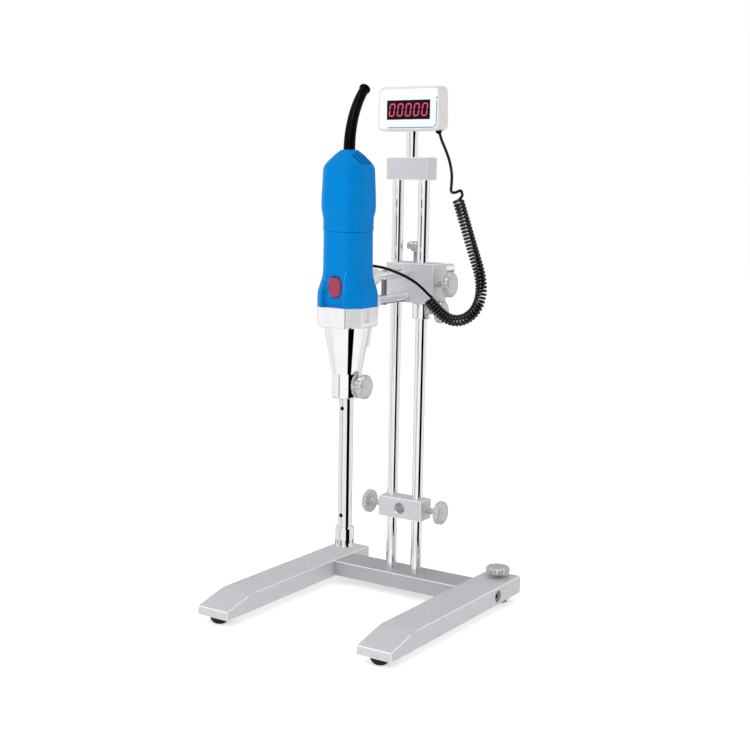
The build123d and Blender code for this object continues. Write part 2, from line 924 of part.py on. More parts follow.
def clamp_knob(side):
    """Knob that clamps the vessel clamp block to the column on its own side."""
    return fluted_knob(
        facing_side(side * clamp_width / 2, column_y, clamp_middle, side),
        clamp_knob_stand_off,
        (clamp_width - column_spacing) / 2 - column_radius - part_gap,
    )


clamp_left_knob = clamp_knob(-1)
clamp_right_knob = clamp_knob(1)

# ---------------------------------------------------------------- motor housing
def facet_section(z, half, edge_round=facet_round):
    """Chamfered square with rounded edges, the housing's cross section, at height z."""
    with BuildSketch(level(z)) as section:
        with Locations((0, motor_y)):
            Rectangle(2 * half, 2 * half)
        chamfer(section.vertices(), facet_share * half)
        fillet(section.vertices(), min(edge_round, 0.3 * half))
    return section.sketch


housing_levels = [
    (case_top, flare_half),
    (case_top + flare_heights[0], flare_half),
    (case_top + flare_heights[1], flare_half - flare_step),
    (case_top + flare_heights[2], grip_half + grip_step),
    (case_top + flare_heights[3], grip_half),
    (housing_top, grip_half - seam_draw),
]
cover_levels = [
    (housing_top, grip_half - seam_draw),
    (housing_top + cover_heights[0], cover_half),
    (housing_top + cover_heights[1], cover_shoulder_half),
    (housing_top + cover_heights[2], cover_shoulder_half - shoulder_step),
    (housing_top + cover_heights[3], crown_half),
    (cover_top, cover_top_half),
]


def faceted_shell(levels, wall, closed_top):
    """Hollow faceted moulding through the given levels, open below, with a crown if closed."""
    inner_levels = levels[:-2] if closed_top else levels
    with BuildPart() as shell:
        loft([facet_section(z, half) for z, half in levels], ruled=True)
        loft([facet_section(z, half - wall) for z, half in inner_levels], ruled=True, mode=Mode.SUBTRACT)
    return shell


def half_at(levels, z):
    """Half width of a faceted moulding at height z."""
    for (low, half_low), (high, half_high) in zip(levels, levels[1:]):
        if low <= z <= high:
            return half_low + (half_high - half_low) * (z - low) / (high - low)
    return levels[-1][1]


switch_z = case_top + switch_from_case
panel_y = motor_y - grip_half
switch_body_front = panel_y + switch_body_behind
pivot_y = panel_y + switch_pivot_behind
gland_z = bracket_top + gland_above_bracket
signal_gland_seat = Plane(
    origin=(gland_x, motor_y + grip_half, gland_z), x_dir=(-1, 0, 0), z_dir=(0, 1, 0)
)
fan_bottom = case_top + fan_above_case
core_bottom = fan_bottom + fan_height + winding_height + works_gap
field_radius = grip_half - seam_draw - housing_wall
commutator_bottom = core_bottom + core_height + winding_height + 2 * works_gap
upper_bearing_bottom = commutator_bottom + commutator_height + 5 * works_gap
lower_bearing_bottom = case_bottom + bearing_above_case_bottom

with BuildPart() as motor_housing:
    add(faceted_shell(housing_levels, housing_wall, closed_top=False).part)
    # flat panel that carries the switch through the flare
    with BuildSketch(facing_front(panel_y)):
        with Locations((0, switch_z - switch_panel_drop)):
            Rectangle(switch_panel_width, switch_panel_height)
    extrude(amount=flare_half, mode=Mode.SUBTRACT)
    with BuildSketch(facing_front(panel_y)):
        with Locations((0, switch_z - switch_panel_drop)):
            Rectangle(switch_panel_width + 2.0, switch_panel_height + 2.0)
    extrude(amount=-housing_wall, mode=Mode.ADD)
    with BuildSketch(facing_front(panel_y - flare_half)):
        with Locations((0, case_top - case_height / 2)):
            Rectangle(2 * flare_half, case_height)
    extrude(amount=-2 * flare_half, mode=Mode.SUBTRACT)
    with BuildSketch(facing_front(panel_y - 1)):
        with Locations((0, switch_z)):
            SlotOverall(switch_height + 2 * switch_gap, switch_width + 2 * switch_gap, rotation=90)
    extrude(amount=-housing_wall - 2, mode=Mode.SUBTRACT)
    # inner bosses for the screws that come up through the gear case
    with BuildSketch(level(case_top)):
        with Locations((0, motor_y)):
            with GridLocations(2 * housing_screw_place, 2 * housing_screw_place, 2, 2):
                Circle(housing_boss_radius)
    extrude(amount=housing_boss_height)
    with BuildSketch(level(case_top)):
        with Locations((0, motor_y)):
            with GridLocations(2 * housing_screw_place, 2 * housing_screw_place, 2, 2):
                Circle(housing_screw_radius + seat_fit)
    extrude(amount=housing_screw_bite + part_gap, mode=Mode.SUBTRACT)
    for x, z in bracket_screw_places[1::2]:
        with Locations(Plane(origin=(x, bracket_front, z), x_dir=(-1, 0, 0), z_dir=(0, 1, 0))):
            Hole(bracket_screw_radius + seat_fit, depth=bracket_screw_bite + part_gap)
    # hole for the speed signal cord
    with Locations(signal_gland_seat):
        Hole(gland_stem_radius + seat_fit, depth=housing_wall)

with BuildPart() as motor_rear_cover:
    add(faceted_shell(cover_levels, housing_wall, closed_top=True).part)
    # web that carries the upper bearing
    web_levels = (
        upper_bearing_bottom - bearing_shelf,
        upper_bearing_bottom + bearing_height + bearing_shelf,
    )
    loft([facet_section(z, half_at(cover_levels, z) - housing_wall / 2) for z in web_levels], ruled=True)
    with Locations((0, motor_y, web_levels[1])):
        Hole(upper_bearing_radius - bearing_lip, depth=web_levels[1] - web_levels[0])
    with Locations(Location((0, motor_y, web_levels[0]), (180, 0, 0))):
        Hole(upper_bearing_radius + seat_fit, depth=bearing_height + bearing_shelf)
    # cooling slots over both shoulders
    for side in (-1, 1):
        with BuildSketch(level(housing_top + slot_floor)):
            with Locations((side * slot_x, motor_y - slot_y_forward)):
                with GridLocations(1, slot_pitch, 1, slots_per_shoulder):
                    SlotOverall(slot_length, slot_width)
        extrude(amount=cover_height, mode=Mode.SUBTRACT)
    with Locations((0, motor_y, cover_top)):
        Hole(guard_stem_radius + seat_fit, depth=crown_thickness)

# ---------------------------------------------------------------- gear case and cone
with BuildPart() as gear_case:
    extrude(facet_section(case_bottom, case_half), amount=case_height)
    fillet(gear_case.faces().sort_by(Axis.Z)[0].outer_wire().edges(), case_edge_round)
    for side in (-1, 1):
        recess = Plane(
            origin=(side * case_half, motor_y - case_recess_forward, case_bottom + case_recess_rise),
            x_dir=(0, side, 0),
            z_dir=(side, 0, 0),
        )
        with BuildSketch(recess):
            RectangleRounded(case_recess_width, case_recess_height, case_recess_depth / 2)
        extrude(amount=-case_recess_depth, mode=Mode.SUBTRACT)
    with Locations((0, motor_y, case_top)):
        Hole(case_cavity_radius, depth=case_top - lower_bearing_bottom - bearing_height)
        Hole(lower_bearing_radius + seat_fit, depth=case_top - lower_bearing_bottom)
        Hole(coupling_radius + coupling_room / 2)
    screw_grid = Location((0, motor_y, case_bottom), (180, 0, 0))
    with Locations(screw_grid):
        with GridLocations(2 * housing_screw_place, 2 * housing_screw_place, 2, 2):
            CounterBoreHole(
                radius=housing_screw_radius + part_gap,
                counter_bore_radius=housing_screw_head + part_gap,
                counter_bore_depth=housing_screw_recess,
            )
    for x, z in bracket_screw_places[::2]:
        with Locations(Plane(origin=(x, bracket_front, z), x_dir=(-1, 0, 0), z_dir=(0, 1, 0))):
            Hole(bracket_screw_radius + seat_fit, depth=bracket_screw_bite + part_gap)

with BuildPart() as housing_screws:
    for x in (-housing_screw_place, housing_screw_place):
        for y in (motor_y - housing_screw_place, motor_y + housing_screw_place):
            seat = Plane(
                origin=(x, y, case_bottom + housing_screw_recess), x_dir=(1, 0, 0), z_dir=(0, 0, -1)
            )
            screw = cap_screw(
                seat,
                housing_screw_head,
                housing_screw_head_height,
                housing_screw_radius,
                case_height - housing_screw_recess + housing_screw_bite,
            )
            add(screw.part)

cone_screw_z = cone_bottom + cone_screw_height
barrel_top = cone_bottom + cone_barrel
cavity_radius = coupling_radius + coupling_room
with BuildPart() as adapter_cone:
    with BuildSketch(facing_front(motor_y)):
        with BuildLine():
            Polyline(
                (tube_radius + slide_fit, cone_bottom),
                (cone_radius, cone_bottom),
                (cone_radius, barrel_top),
                (cone_top_radius, case_bottom),
                (coupling_radius + coupling_room / 2, case_bottom),
                (cavity_radius, case_bottom - cone_floor),
                (cavity_radius, tube_top + cone_floor),
                (tube_bore_radius, tube_top + cone_floor),
                (tube_bore_radius, tube_top),
                (tube_radius + slide_fit, tube_top),
                close=True,
            )
        make_face()
    revolve(axis=Axis((0, motor_y, 0), (0, 0, 1)))
    fillet(adapter_cone.edges().group_by(Axis.Z)[0].sort_by(SortBy.RADIUS)[-1], cone_edge_round)
    with Locations(facing_side(cone_radius, motor_y, cone_screw_z, 1)):
        Hole(stud_radius + slide_fit, depth=cone_radius - tube_radius)
    pin_way = Vector(cos(radians(cone_pin_direction)), sin(radians(cone_pin_direction)), 0)
    pin_mouth = Vector(0, motor_y, cone_screw_z) + pin_way * cone_radius
    with Locations(Plane(origin=pin_mouth, x_dir=(0, 0, 1), z_dir=pin_way)):
        Hole(cone_pin_radius, depth=cone_pin_depth)

cone_thumb_screw = fluted_knob(
    facing_side(cone_radius, motor_y, cone_screw_z, 1),
    cone_screw_stand_off,
    cone_radius - tube_radius - part_gap,
    radius=cone_screw_radius,
)

# ---------------------------------------------------------------- stator and tube
with BuildPart() as stator_tube:
    with BuildSketch(level(tube_bottom)):
        with Locations((0, motor_y)):
            Circle(tube_radius)
            Circle(tube_bore_radius, mode=Mode.SUBTRACT)
    extrude(amount=tube_top - tube_bottom)
    for drop in (tube_hole_top, tube_hole_bottom):
        hole_mouth = Plane(
            origin=(0, motor_y - tube_radius, cone_bottom - drop), x_dir=(1, 0, 0), z_dir=(0, -1, 0)
        )
        with Locations(hole_mouth):
            Hole(tube_hole_radius, depth=2 * tube_radius)

with BuildPart() as stator_head:
    with BuildSketch(facing_front(motor_y)):
        with BuildLine():
            Polyline(
                (head_bore_radius, head_bottom),
                (head_radius, head_bottom),
                (head_radius, head_top - head_shoulder),
                (tube_radius + head_lip, head_top),
                (tube_radius + seat_fit, head_top),
                (tube_radius + seat_fit, tube_bottom),
                (shaft_radius + head_web_clear, tube_bottom),
                (shaft_radius + head_web_clear, tube_bottom - head_floor),
                (head_bore_radius, tube_bottom - head_floor),
                close=True,
            )
        make_face()
    revolve(axis=Axis((0, motor_y, 0), (0, 0, 1)))
    with BuildSketch(level(head_bottom)):
        with Locations((0, motor_y)):
            with PolarLocations((head_radius + head_bore_radius) / 2, head_slots):
                Rectangle(2 * (head_radius - head_bore_radius), head_slot_width)
    extrude(amount=head_slot_height, mode=Mode.SUBTRACT)

with BuildPart() as tube_bushings:
    for z in (tube_bottom, tube_top - bush_length):
        with BuildSketch(level(z)):
            with Locations((0, motor_y)):
                Circle(tube_bore_radius - seat_fit)
                Circle(shaft_radius + slide_fit, mode=Mode.SUBTRACT)
        extrude(amount=bush_length)

# ---------------------------------------------------------------- drive train
rotor_bottom = head_bottom + rotor_lift
rotor_radius = head_bore_radius - rotor_gap
shaft_top = tube_top + shaft_above_tube
with BuildPart() as rotor:
    with BuildSketch(level(rotor_bottom)):
        with Locations((0, motor_y)):
            Circle(shaft_radius + rotor_hub)
            Rectangle(2 * rotor_radius + rotor_hub, rotor_blade)
            Rectangle(rotor_blade, 2 * rotor_radius + rotor_hub)
            Circle(shaft_radius + seat_fit, mode=Mode.SUBTRACT)
    extrude(amount=rotor_height)
    with BuildSketch(level(rotor_bottom)):
        with Locations((0, motor_y)):
            Circle(rotor_radius)
    extrude(amount=rotor_height, mode=Mode.INTERSECT)

with BuildPart() as drive_shaft:
    with BuildSketch(level(rotor_bottom)):
        with Locations((0, motor_y)):
            Circle(shaft_radius)
    extrude(amount=shaft_top - rotor_bottom)
    with BuildSketch(level(rotor_bottom + rotor_height)):
        with Locations((0, motor_y)):
            Circle(shaft_radius + rotor_hub)
            Circle(shaft_radius, mode=Mode.SUBTRACT)
    extrude(amount=shaft_collar_height)

coupling_bottom = shaft_top - coupling_grip
spindle_bottom = shaft_top + coupling_gap
with BuildPart() as shaft_coupling:
    with BuildSketch(level(coupling_bottom)):
        with Locations((0, motor_y)):
            Circle(coupling_radius)
    extrude(amount=coupling_length)
    chamfer(shaft_coupling.edges().filter_by(GeomType.CIRCLE), 0.8)
    with Locations(Location((0, motor_y, coupling_bottom), (180, 0, 0))):
        Hole(shaft_radius + seat_fit, depth=coupling_grip + coupling_gap / 2)
    with Locations((0, motor_y, coupling_bottom + coupling_length)):
        Hole(spindle_radius + seat_fit, depth=coupling_bottom + coupling_length - spindle_bottom)

spindle_top = upper_bearing_bottom + bearing_height + spindle_stub
with BuildPart() as armature:
    with BuildSketch(level(spindle_bottom)):
        with Locations((0, motor_y)):
            Circle(spindle_radius)
    extrude(amount=spindle_top - spindle_bottom)
    with BuildSketch(level(core_bottom)):
        with Locations((0, motor_y)):
            Circle(core_radius)
            with PolarLocations(core_radius, core_slots):
                Rectangle(core_slot_depth, core_slot_width, mode=Mode.SUBTRACT)
    extrude(amount=core_height)
    for z in (core_bottom - winding_height, core_bottom + core_height):
        with BuildSketch(level(z)):
            with Locations((0, motor_y)):
                Circle(core_radius - winding_step)
        extrude(amount=winding_height)

with BuildPart() as commutator:
    with BuildSketch(level(commutator_bottom)):
        with Locations((0, motor_y)):
            Circle(commutator_radius)
            Circle(spindle_radius + seat_fit, mode=Mode.SUBTRACT)
    extrude(amount=commutator_height)

with BuildPart() as cooling_fan:
    with BuildSketch(level(fan_bottom)):
        with Locations((0, motor_y)):
            Circle(fan_radius)
            Circle(spindle_radius + seat_fit, mode=Mode.SUBTRACT)
    extrude(amount=fan_disc)
    with BuildSketch(level(fan_bottom + fan_disc)):
        with Locations((0, motor_y)):
            Circle(fan_hub_radius)
            with PolarLocations(fan_radius - fan_blade_length / 2, fan_blades):
                Rectangle(fan_blade_length, fan_blade_thickness)
            Circle(spindle_radius + seat_fit, mode=Mode.SUBTRACT)
    extrude(amount=fan_height - fan_disc)

with BuildPart() as field_stator:
    with BuildSketch(level(core_bottom)):
        with Locations((0, motor_y)):
            Circle(field_radius - seat_fit)
            Circle(core_radius + air_gap, mode=Mode.SUBTRACT)
    extrude(amount=core_height)

bearing_places = (
    (lower_bearing_bottom, lower_bearing_radius),
    (upper_bearing_bottom, upper_bearing_radius),
)
with BuildPart() as spindle_bearings:
    for z, radius in bearing_places:
        with BuildSketch(level(z)):
            with Locations((0, motor_y)):
                Circle(radius)
                Circle(spindle_radius + bearing_fit, mode=Mode.SUBTRACT)
        extrude(amount=bearing_height)

brush_inner = commutator_radius + part_gap
brush_bottom = commutator_bottom + brush_inset
brush_outer = half_at(cover_levels, brush_bottom) - housing_wall - part_gap
with BuildPart() as brush_gear:
    with BuildSketch(level(brush_bottom)):
        for side in (-1, 1):
            with Locations((side * (brush_inner + brush_outer) / 2, motor_y)):
                Rectangle(brush_outer - brush_inner, brush_width)
    extrude(amount=commutator_height - 2 * brush_inset)

sensor_y = motor_y + field_radius - sensor_depth + works_gap
with BuildPart() as speed_sensor:
    with BuildSketch(level(core_bottom + core_height)):
        with Locations((gland_x - 2 * works_gap, sensor_y)):
            Rectangle(sensor_width, sensor_depth)
    extrude(amount=sensor_height)

# ---------------------------------------------------------------- switch
rocker_frame = Plane(origin=(0, pivot_y, switch_z), x_dir=(1, 0, 0), z_dir=(0, -1, 0)).rotated(
    (switch_tilt, 0, 0)
)
rocker_front = pivot_y - panel_y + 3.0
with BuildPart() as switch_rocker:
    with BuildSketch(rocker_frame.offset(pivot_y - panel_y - 2.2)):
        SlotOverall(switch_height, switch_width, rotation=90)
    extrude(amount=5.2)
    kink_plane = Plane(origin=rocker_frame.origin, x_dir=rocker_frame.z_dir, z_dir=rocker_frame.x_dir)
    with BuildSketch(kink_plane.offset(-switch_width)):
        with BuildLine():
            Polyline(
                (rocker_front + 3.0, -switch_height),
                (rocker_front - 0.6, -switch_height / 2 - 1),
                (rocker_front - 2.2, -0.1 * switch_height),
                (rocker_front, switch_height / 2 + 1),
                (rocker_front + 3.0, switch_height),
                close=True,
            )
        make_face()
    extrude(amount=2 * switch_width, mode=Mode.SUBTRACT)
    with BuildSketch(rocker_frame.offset(-1.5)):
        Rectangle(8.0, 3.0)
    extrude(amount=pivot_y - panel_y)
    with BuildSketch(Plane(origin=(-8.0, pivot_y, switch_z), x_dir=(0, 1, 0), z_dir=(1, 0, 0))):
        Circle(1.5)
    extrude(amount=16.0)

with BuildPart() as switch_body:
    with BuildSketch(level(switch_z - 11.0)):
        with Locations((0, switch_body_front + 2.5 + 4.0)):
            Rectangle(18.0, 8.0)
    extrude(amount=22.0)
    for side in (-1, 1):
        with BuildSketch(Plane.YZ.offset(side * 6.75 - 1.25)):
            with Locations((pivot_y + 1.25, switch_z)):
                Rectangle(6.5, 6.0)
            with Locations((pivot_y, switch_z)):
                Circle(1.5 + slide_fit, mode=Mode.SUBTRACT)
        extrude(amount=2.5)

# ---------------------------------------------------------------- cord guard and signal gland

def guard_station(angle):
    """Plane across the guard where its middle line has turned by angle degrees."""
    turn = radians(angle)
    return Plane(
        origin=(
            0,
            motor_y + guard_bend_radius * (1 - cos(turn)),
            cover_top + guard_bend_radius * sin(turn),
        ),
        x_dir=(1, 0, 0),
        z_dir=(0, sin(turn), cos(turn)),
    )


with BuildPart() as cord_guard:
    for step in range(guard_stations + 1):
        share = step / guard_stations
        with BuildSketch(guard_station(share * guard_bend)):
            Circle(guard_radius + share * (guard_tip_radius - guard_radius))
    loft()
    guard_tip = guard_station(guard_bend)
    guard_mouth = guard_tip.offset(guard_bead_height)
    with BuildSketch(guard_tip.offset(-guard_bead_sink)):
        Circle(guard_bead_radius)
    extrude(amount=guard_bead_height + guard_bead_sink)
    bead_edge = cord_guard.edges().filter_by(GeomType.CIRCLE).sort_by_distance(guard_mouth.origin)[0]
    fillet(bead_edge, guard_bead_round)
    with BuildSketch(guard_mouth):
        Circle(guard_bore_radius)
    extrude(amount=-guard_bore_depth, mode=Mode.SUBTRACT)
    with BuildSketch(level(cover_top)):
        with Locations((0, motor_y)):
            Circle(guard_stem_radius)
    extrude(amount=-guard_stem_length)

# ---------------------------------------------------------------- cord
# Middle line of each stretch, chosen by hand, in the part's own frame
upper_lead_points = [
    (41.5, 69.5, 576.5),
    (52.5, 61.5, 564.5),
    (63.5, 53.5, 550.0),
    (70.5, 46.5, 535.0),
    (74.5, 41.5, 518.0),
    (75.0, 38.5, 500.0),
]
coil_points = [
    (84.7, 37.5, 506.0),
    (95.0, 35.5, 482.0),
    (109.8, 34.0, 444.0),
    (120.0, 33.9, 418.0),
    (122.0, 33.9, 397.0),
    (116.0, 33.9, 378.0),
    (101.0, 33.9, 365.0),
    (82.0, 33.9, 362.5),
    (65.5, 33.9, 371.5),
    (50.0, 33.9, 386.0),
]
gland_centre = (display_cord_x, column_y, display_bottom)
upper_way = (Vector(*upper_lead_points[0]) - Vector(*gland_centre)).normalized()
upper_lead_points.insert(0, tuple(Vector(*gland_centre) + upper_way * (gland_radius + seat_fit)))
coil_end = Vector(*coil_points[-1])
coil_way_out = (coil_end - Vector(*coil_points[-2])).normalized()
coil_side = Vector(0, 1, 0).cross(coil_way_out)
lead_off_centre = coil_radius - cord_radius - lead_off_edge
lead_start = coil_end + coil_way_out * cord_break + coil_side * lead_off_centre
lower_lead_points = [
    tuple(lead_start),
    tuple(lead_start + coil_way_out * lead_straight),
    (43.5, 25.0, 404.0),
    (34.0, 12.0, 413.5),
    (24.5, -3.5, 421.0),
    (16.5, -18.0, 426.5),
]
signal_centre = (gland_x, motor_y + grip_half + gland_ball_lift, gland_z)
lower_way = (Vector(*lower_lead_points[-1]) - Vector(*signal_centre)).normalized()
lower_lead_points.append(tuple(Vector(*signal_centre) + lower_way * (gland_radius + seat_fit)))


def ball_gland(centre, way, stem_plane, stem_length):
    """Round grommet with a flat turned to the cord's way out and a stem through the wall."""
    face = Plane(origin=Vector(*centre) + way * gland_radius, z_dir=way)
    with BuildPart() as gland:
        with Locations(centre):
            Sphere(gland_radius + gland_ball_extra)
        with BuildSketch(face):
            Circle(2 * gland_radius)
        extrude(amount=gland_radius, mode=Mode.SUBTRACT)
        with BuildSketch(stem_plane):
            Circle(2 * gland_radius)
        extrude(amount=-2 * gland_radius, mode=Mode.SUBTRACT)
        with BuildSketch(stem_plane):
            Circle(gland_stem_radius)
        extrude(amount=-stem_length)
        with BuildSketch(stem_plane):
            Circle(gland_stem_radius)
        extrude(amount=gland_radius / 4)
    return gland


display_gland = ball_gland(
    gland_centre,
    upper_way,
    Plane(origin=gland_centre, x_dir=(1, 0, 0), z_dir=(0, 0, -1)),
    display_wall,
)
signal_gland = ball_gland(
    signal_centre,
    lower_way,
    signal_gland_seat,
    housing_wall,
)


def cord_radii(name, points):
    """Largest arc radius at each inner point of a cord, by its shorter run and its turn."""
    radii = []
    for before, here, after in zip(points, points[1:], points[2:]):
        run_in = Vector(*here) - Vector(*before)
        run_out = Vector(*after) - Vector(*here)
        turn = radians(run_in.get_angle(run_out))
        radii.append(arc_share * min(run_in.length, run_out.length) / tan(turn / 2))
    print(name, "arc radii", [round(radius, 1) for radius in radii])
    return radii


def cord_tube(name, points, radius):
    """Plain tube along straight runs joined by tangent arcs."""
    with BuildPart() as tube:
        with BuildLine() as route:
            FilletPolyline(*points, radius=cord_radii(name, points))
        path = route.wires()[0]
        with BuildSketch(Plane(origin=path @ 0, z_dir=path % 0)):
            Circle(radius)
        sweep(path=path)
    straight_volume = pi * radius**2 * path.length
    volume_share = round(tube.part.volume / straight_volume, 4)
    print(name, "length", round(path.length, 1), "volume share", volume_share)
    return tube


cord_upper_lead = cord_tube("cord_upper_lead", upper_lead_points, cord_radius)
cord_coil = cord_tube("cord_coil", coil_points, coil_radius)
cord_lower_lead = cord_tube("cord_lower_lead", lower_lead_points, cord_radius)

# ---------------------------------------------------------------- write the pieces
pieces = {
    "left_leg": left_leg,
    "right_leg": right_leg,
    "cross_beam": cross_beam,
    "beam_bolts": beam_bolts,
    "column_bolts": column_bolts,
    "rubber_feet": rubber_feet,
    "levelling_foot": levelling_foot,
    "levelling_knob": levelling_knob,
    "left_column": left_column,
    "right_column": right_column,
    "top_bridge": top_bridge,
    "bridge_grub_screws": bridge_grub_screws,
    "display_rod": display_rod,
    "display_case": display_case,
    "display_rear_cover": display_rear_cover,
    "display_screws": display_screws,
    "display_window": display_window,
    "display_board": display_board,
    "display_digits": display_digits,
    "display_gland": display_gland,
    "slide_block": slide_block,
    "block_knob": block_knob,
    "arm_lock_knob": arm_lock_knob,
    "upper_arm_rod": upper_arm_rod,
    "lower_arm_rod": lower_arm_rod,
    "arm_tie_pin": arm_tie_pin,
    "motor_bracket": motor_bracket,
    "bracket_screws": bracket_screws,
    "stop_collar": stop_collar,
    "stop_collar_knob": stop_collar_knob,
    "clamp_block": clamp_block,
    "clamp_left_knob": clamp_left_knob,
    "clamp_right_knob": clamp_right_knob,
    "motor_housing": motor_housing,
    "motor_rear_cover": motor_rear_cover,
    "housing_screws": housing_screws,
    "gear_case": gear_case,
    "adapter_cone": adapter_cone,
    "cone_thumb_screw": cone_thumb_screw,
    "stator_tube": stator_tube,
    "stator_head": stator_head,
    "tube_bushings": tube_bushings,
    "rotor": rotor,
    "drive_shaft": drive_shaft,
    "shaft_coupling": shaft_coupling,
    "armature": armature,
    "commutator": commutator,
    "cooling_fan": cooling_fan,
    "field_stator": field_stator,
    "spindle_bearings": spindle_bearings,
    "brush_gear": brush_gear,
    "speed_sensor": speed_sensor,
    "switch_rocker": switch_rocker,
    "switch_body": switch_body,
    "cord_guard": cord_guard,
    "signal_gland": signal_gland,
    "cord_upper_lead": cord_upper_lead,
    "cord_coil": cord_coil,
    "cord_lower_lead": cord_lower_lead,
}
os.makedirs("parts", exist_ok=True)
for name, piece in pieces.items():
    piece.part.label = name
    export_step(piece.part, f"parts/{name}.step")
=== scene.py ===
from math import copysign, cos, pi, radians, sin

import bmesh
import bpy
from mathutils import Matrix, Vector


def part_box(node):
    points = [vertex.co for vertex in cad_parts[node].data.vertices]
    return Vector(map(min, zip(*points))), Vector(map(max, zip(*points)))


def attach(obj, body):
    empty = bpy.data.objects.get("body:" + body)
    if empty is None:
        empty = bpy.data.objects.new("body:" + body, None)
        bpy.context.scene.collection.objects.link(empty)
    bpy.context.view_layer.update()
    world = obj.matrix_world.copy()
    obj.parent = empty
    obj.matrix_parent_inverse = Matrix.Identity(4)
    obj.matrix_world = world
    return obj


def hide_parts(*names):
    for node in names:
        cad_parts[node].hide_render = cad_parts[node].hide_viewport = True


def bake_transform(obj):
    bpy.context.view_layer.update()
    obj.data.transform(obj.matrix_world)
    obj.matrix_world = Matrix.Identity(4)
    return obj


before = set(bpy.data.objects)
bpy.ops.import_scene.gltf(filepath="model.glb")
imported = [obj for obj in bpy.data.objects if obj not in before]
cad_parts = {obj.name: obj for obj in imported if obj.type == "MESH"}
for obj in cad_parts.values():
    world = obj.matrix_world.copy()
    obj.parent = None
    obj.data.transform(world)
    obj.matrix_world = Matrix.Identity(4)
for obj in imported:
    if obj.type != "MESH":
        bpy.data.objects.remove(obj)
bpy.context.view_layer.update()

# Looks of a bench rotor stator homogenizer. Sizes are written in millimetres and turned to metres.
MM = 0.001
MERGE_MM = 0.01


def mm(x, y, z):
    """A place given in millimetres, as a vector in metres."""
    return Vector((x, y, z)) * MM


# ------------------------------------------------------------------ camera
def make_camera():
    """Long lens seen from the front right and a little above."""
    lens = bpy.data.cameras.new("bench_view")
    lens.sensor_width = 36.0
    lens.lens = 63.93
    lens.shift_x = 0.0933
    lens.shift_y = 0.0677
    lens.clip_start = 0.05
    lens.clip_end = 50.0
    camera = bpy.data.objects.new("bench_view", lens)
    right = Vector((0.81232, 0.58317, 0.00631))
    up = Vector((-0.11482, 0.14931, 0.98210))
    back = right.cross(up)
    turn = Matrix((right, up, back)).transposed()
    camera.matrix_world = Matrix.Translation(Vector((0.864, -1.356, 0.538))) @ turn.to_4x4()
    bpy.context.scene.collection.objects.link(camera)
    bpy.context.scene.camera = camera


make_camera()


# ------------------------------------------------------------------ signal cord
WIRE = 3.4
COIL_OUTER = 14.6
COIL_TURNS = 51.5
POINTS_PER_TURN = 12
# the first part of the first turn is drawn out and up into a hook that meets the lead
HOOK_TURNS = 0.6
HOOK_OUT = 2.0
HOOK_UP = 6.0

coil_route = [
    (84.7, 37.5, 506.0),
    (95.0, 35.5, 482.0),
    (109.8, 34.0, 444.0),
    (120.0, 33.9, 418.0),
    (122.0, 33.9, 397.0),
    (116.0, 33.9, 378.0),
    (101.0, 33.9, 365.0),
    (82.0, 33.9, 362.5),
    (65.5, 33.9, 371.5),
    (50.0, 33.9, 386.0),
]


def spline_object(name, points, bevel=0.0, sides=2):
    """Open NURBS curve through control points in metres, round in section if bevel is given."""
    curve = bpy.data.curves.new(name, "CURVE")
    curve.dimensions = "3D"
    curve.resolution_u = 6
    curve.bevel_depth = bevel
    curve.bevel_resolution = sides
    curve.use_fill_caps = bevel > 0
    spline = curve.splines.new("NURBS")
    spline.points.add(len(points) - 1)
    for point, place in zip(spline.points, points):
        point.co = (*place, 1.0)
    spline.order_u = 3
    spline.use_endpoint_u = True
    spline.use_smooth = True
    thing = bpy.data.objects.new(name, curve)
    bpy.context.scene.collection.objects.link(thing)
    return thing


def as_mesh(thing):
    """Evaluated copy of a curve or modified object as a plain mesh object of the same name."""
    bpy.context.view_layer.update()
    depsgraph = bpy.context.evaluated_depsgraph_get()
    mesh = bpy.data.meshes.new_from_object(thing.evaluated_get(depsgraph))
    name = thing.name
    bpy.data.objects.remove(thing)
    mesh.name = name
    piece = bpy.data.objects.new(name, mesh)
    bpy.context.scene.collection.objects.link(piece)
    return piece


def line_points(points):
    """Points along the smooth line of a route, in order."""
    path = as_mesh(spline_object("route_line", points))
    found = [vertex.co.copy() for vertex in path.data.vertices]
    bpy.data.objects.remove(path)
    return found


def helix_points(centreline):
    """Control points of the curled wire round a centreline, starting on its right with the hook."""
    steps = [0.0]
    for here, after in zip(centreline, centreline[1:]):
        steps.append(steps[-1] + (after - here).length)
    total = steps[-1]
    count = int(COIL_TURNS * POINTS_PER_TURN)
    radius = (COIL_OUTER - WIRE) / 2 * MM
    found = []
    segment = 0
    for index in range(count + 1):
        share = index / count
        reach = share * total
        while segment < len(steps) - 2 and steps[segment + 1] < reach:
            segment += 1
        start, end = centreline[segment], centreline[segment + 1]
        part = (reach - steps[segment]) / (steps[segment + 1] - steps[segment])
        centre = start.lerp(end, part)
        before = centreline[max(segment - 1, 0)]
        beyond = centreline[min(segment + 2, len(centreline) - 1)]
        along = (end - before).normalized().lerp((beyond - start).normalized(), part).normalized()
        side = Vector((0, 1, 0)).cross(along).normalized()
        across = along.cross(side)
        turn = pi - 2 * pi * index / POINTS_PER_TURN
        hook = max(0.0, 1.0 - index / (HOOK_TURNS * POINTS_PER_TURN)) ** 2
        spread = radius + HOOK_OUT * MM * hook
        rise = HOOK_UP * MM * hook
        found.append(centre + (side * cos(turn) + across * sin(turn)) * spread - along * rise)
    return found


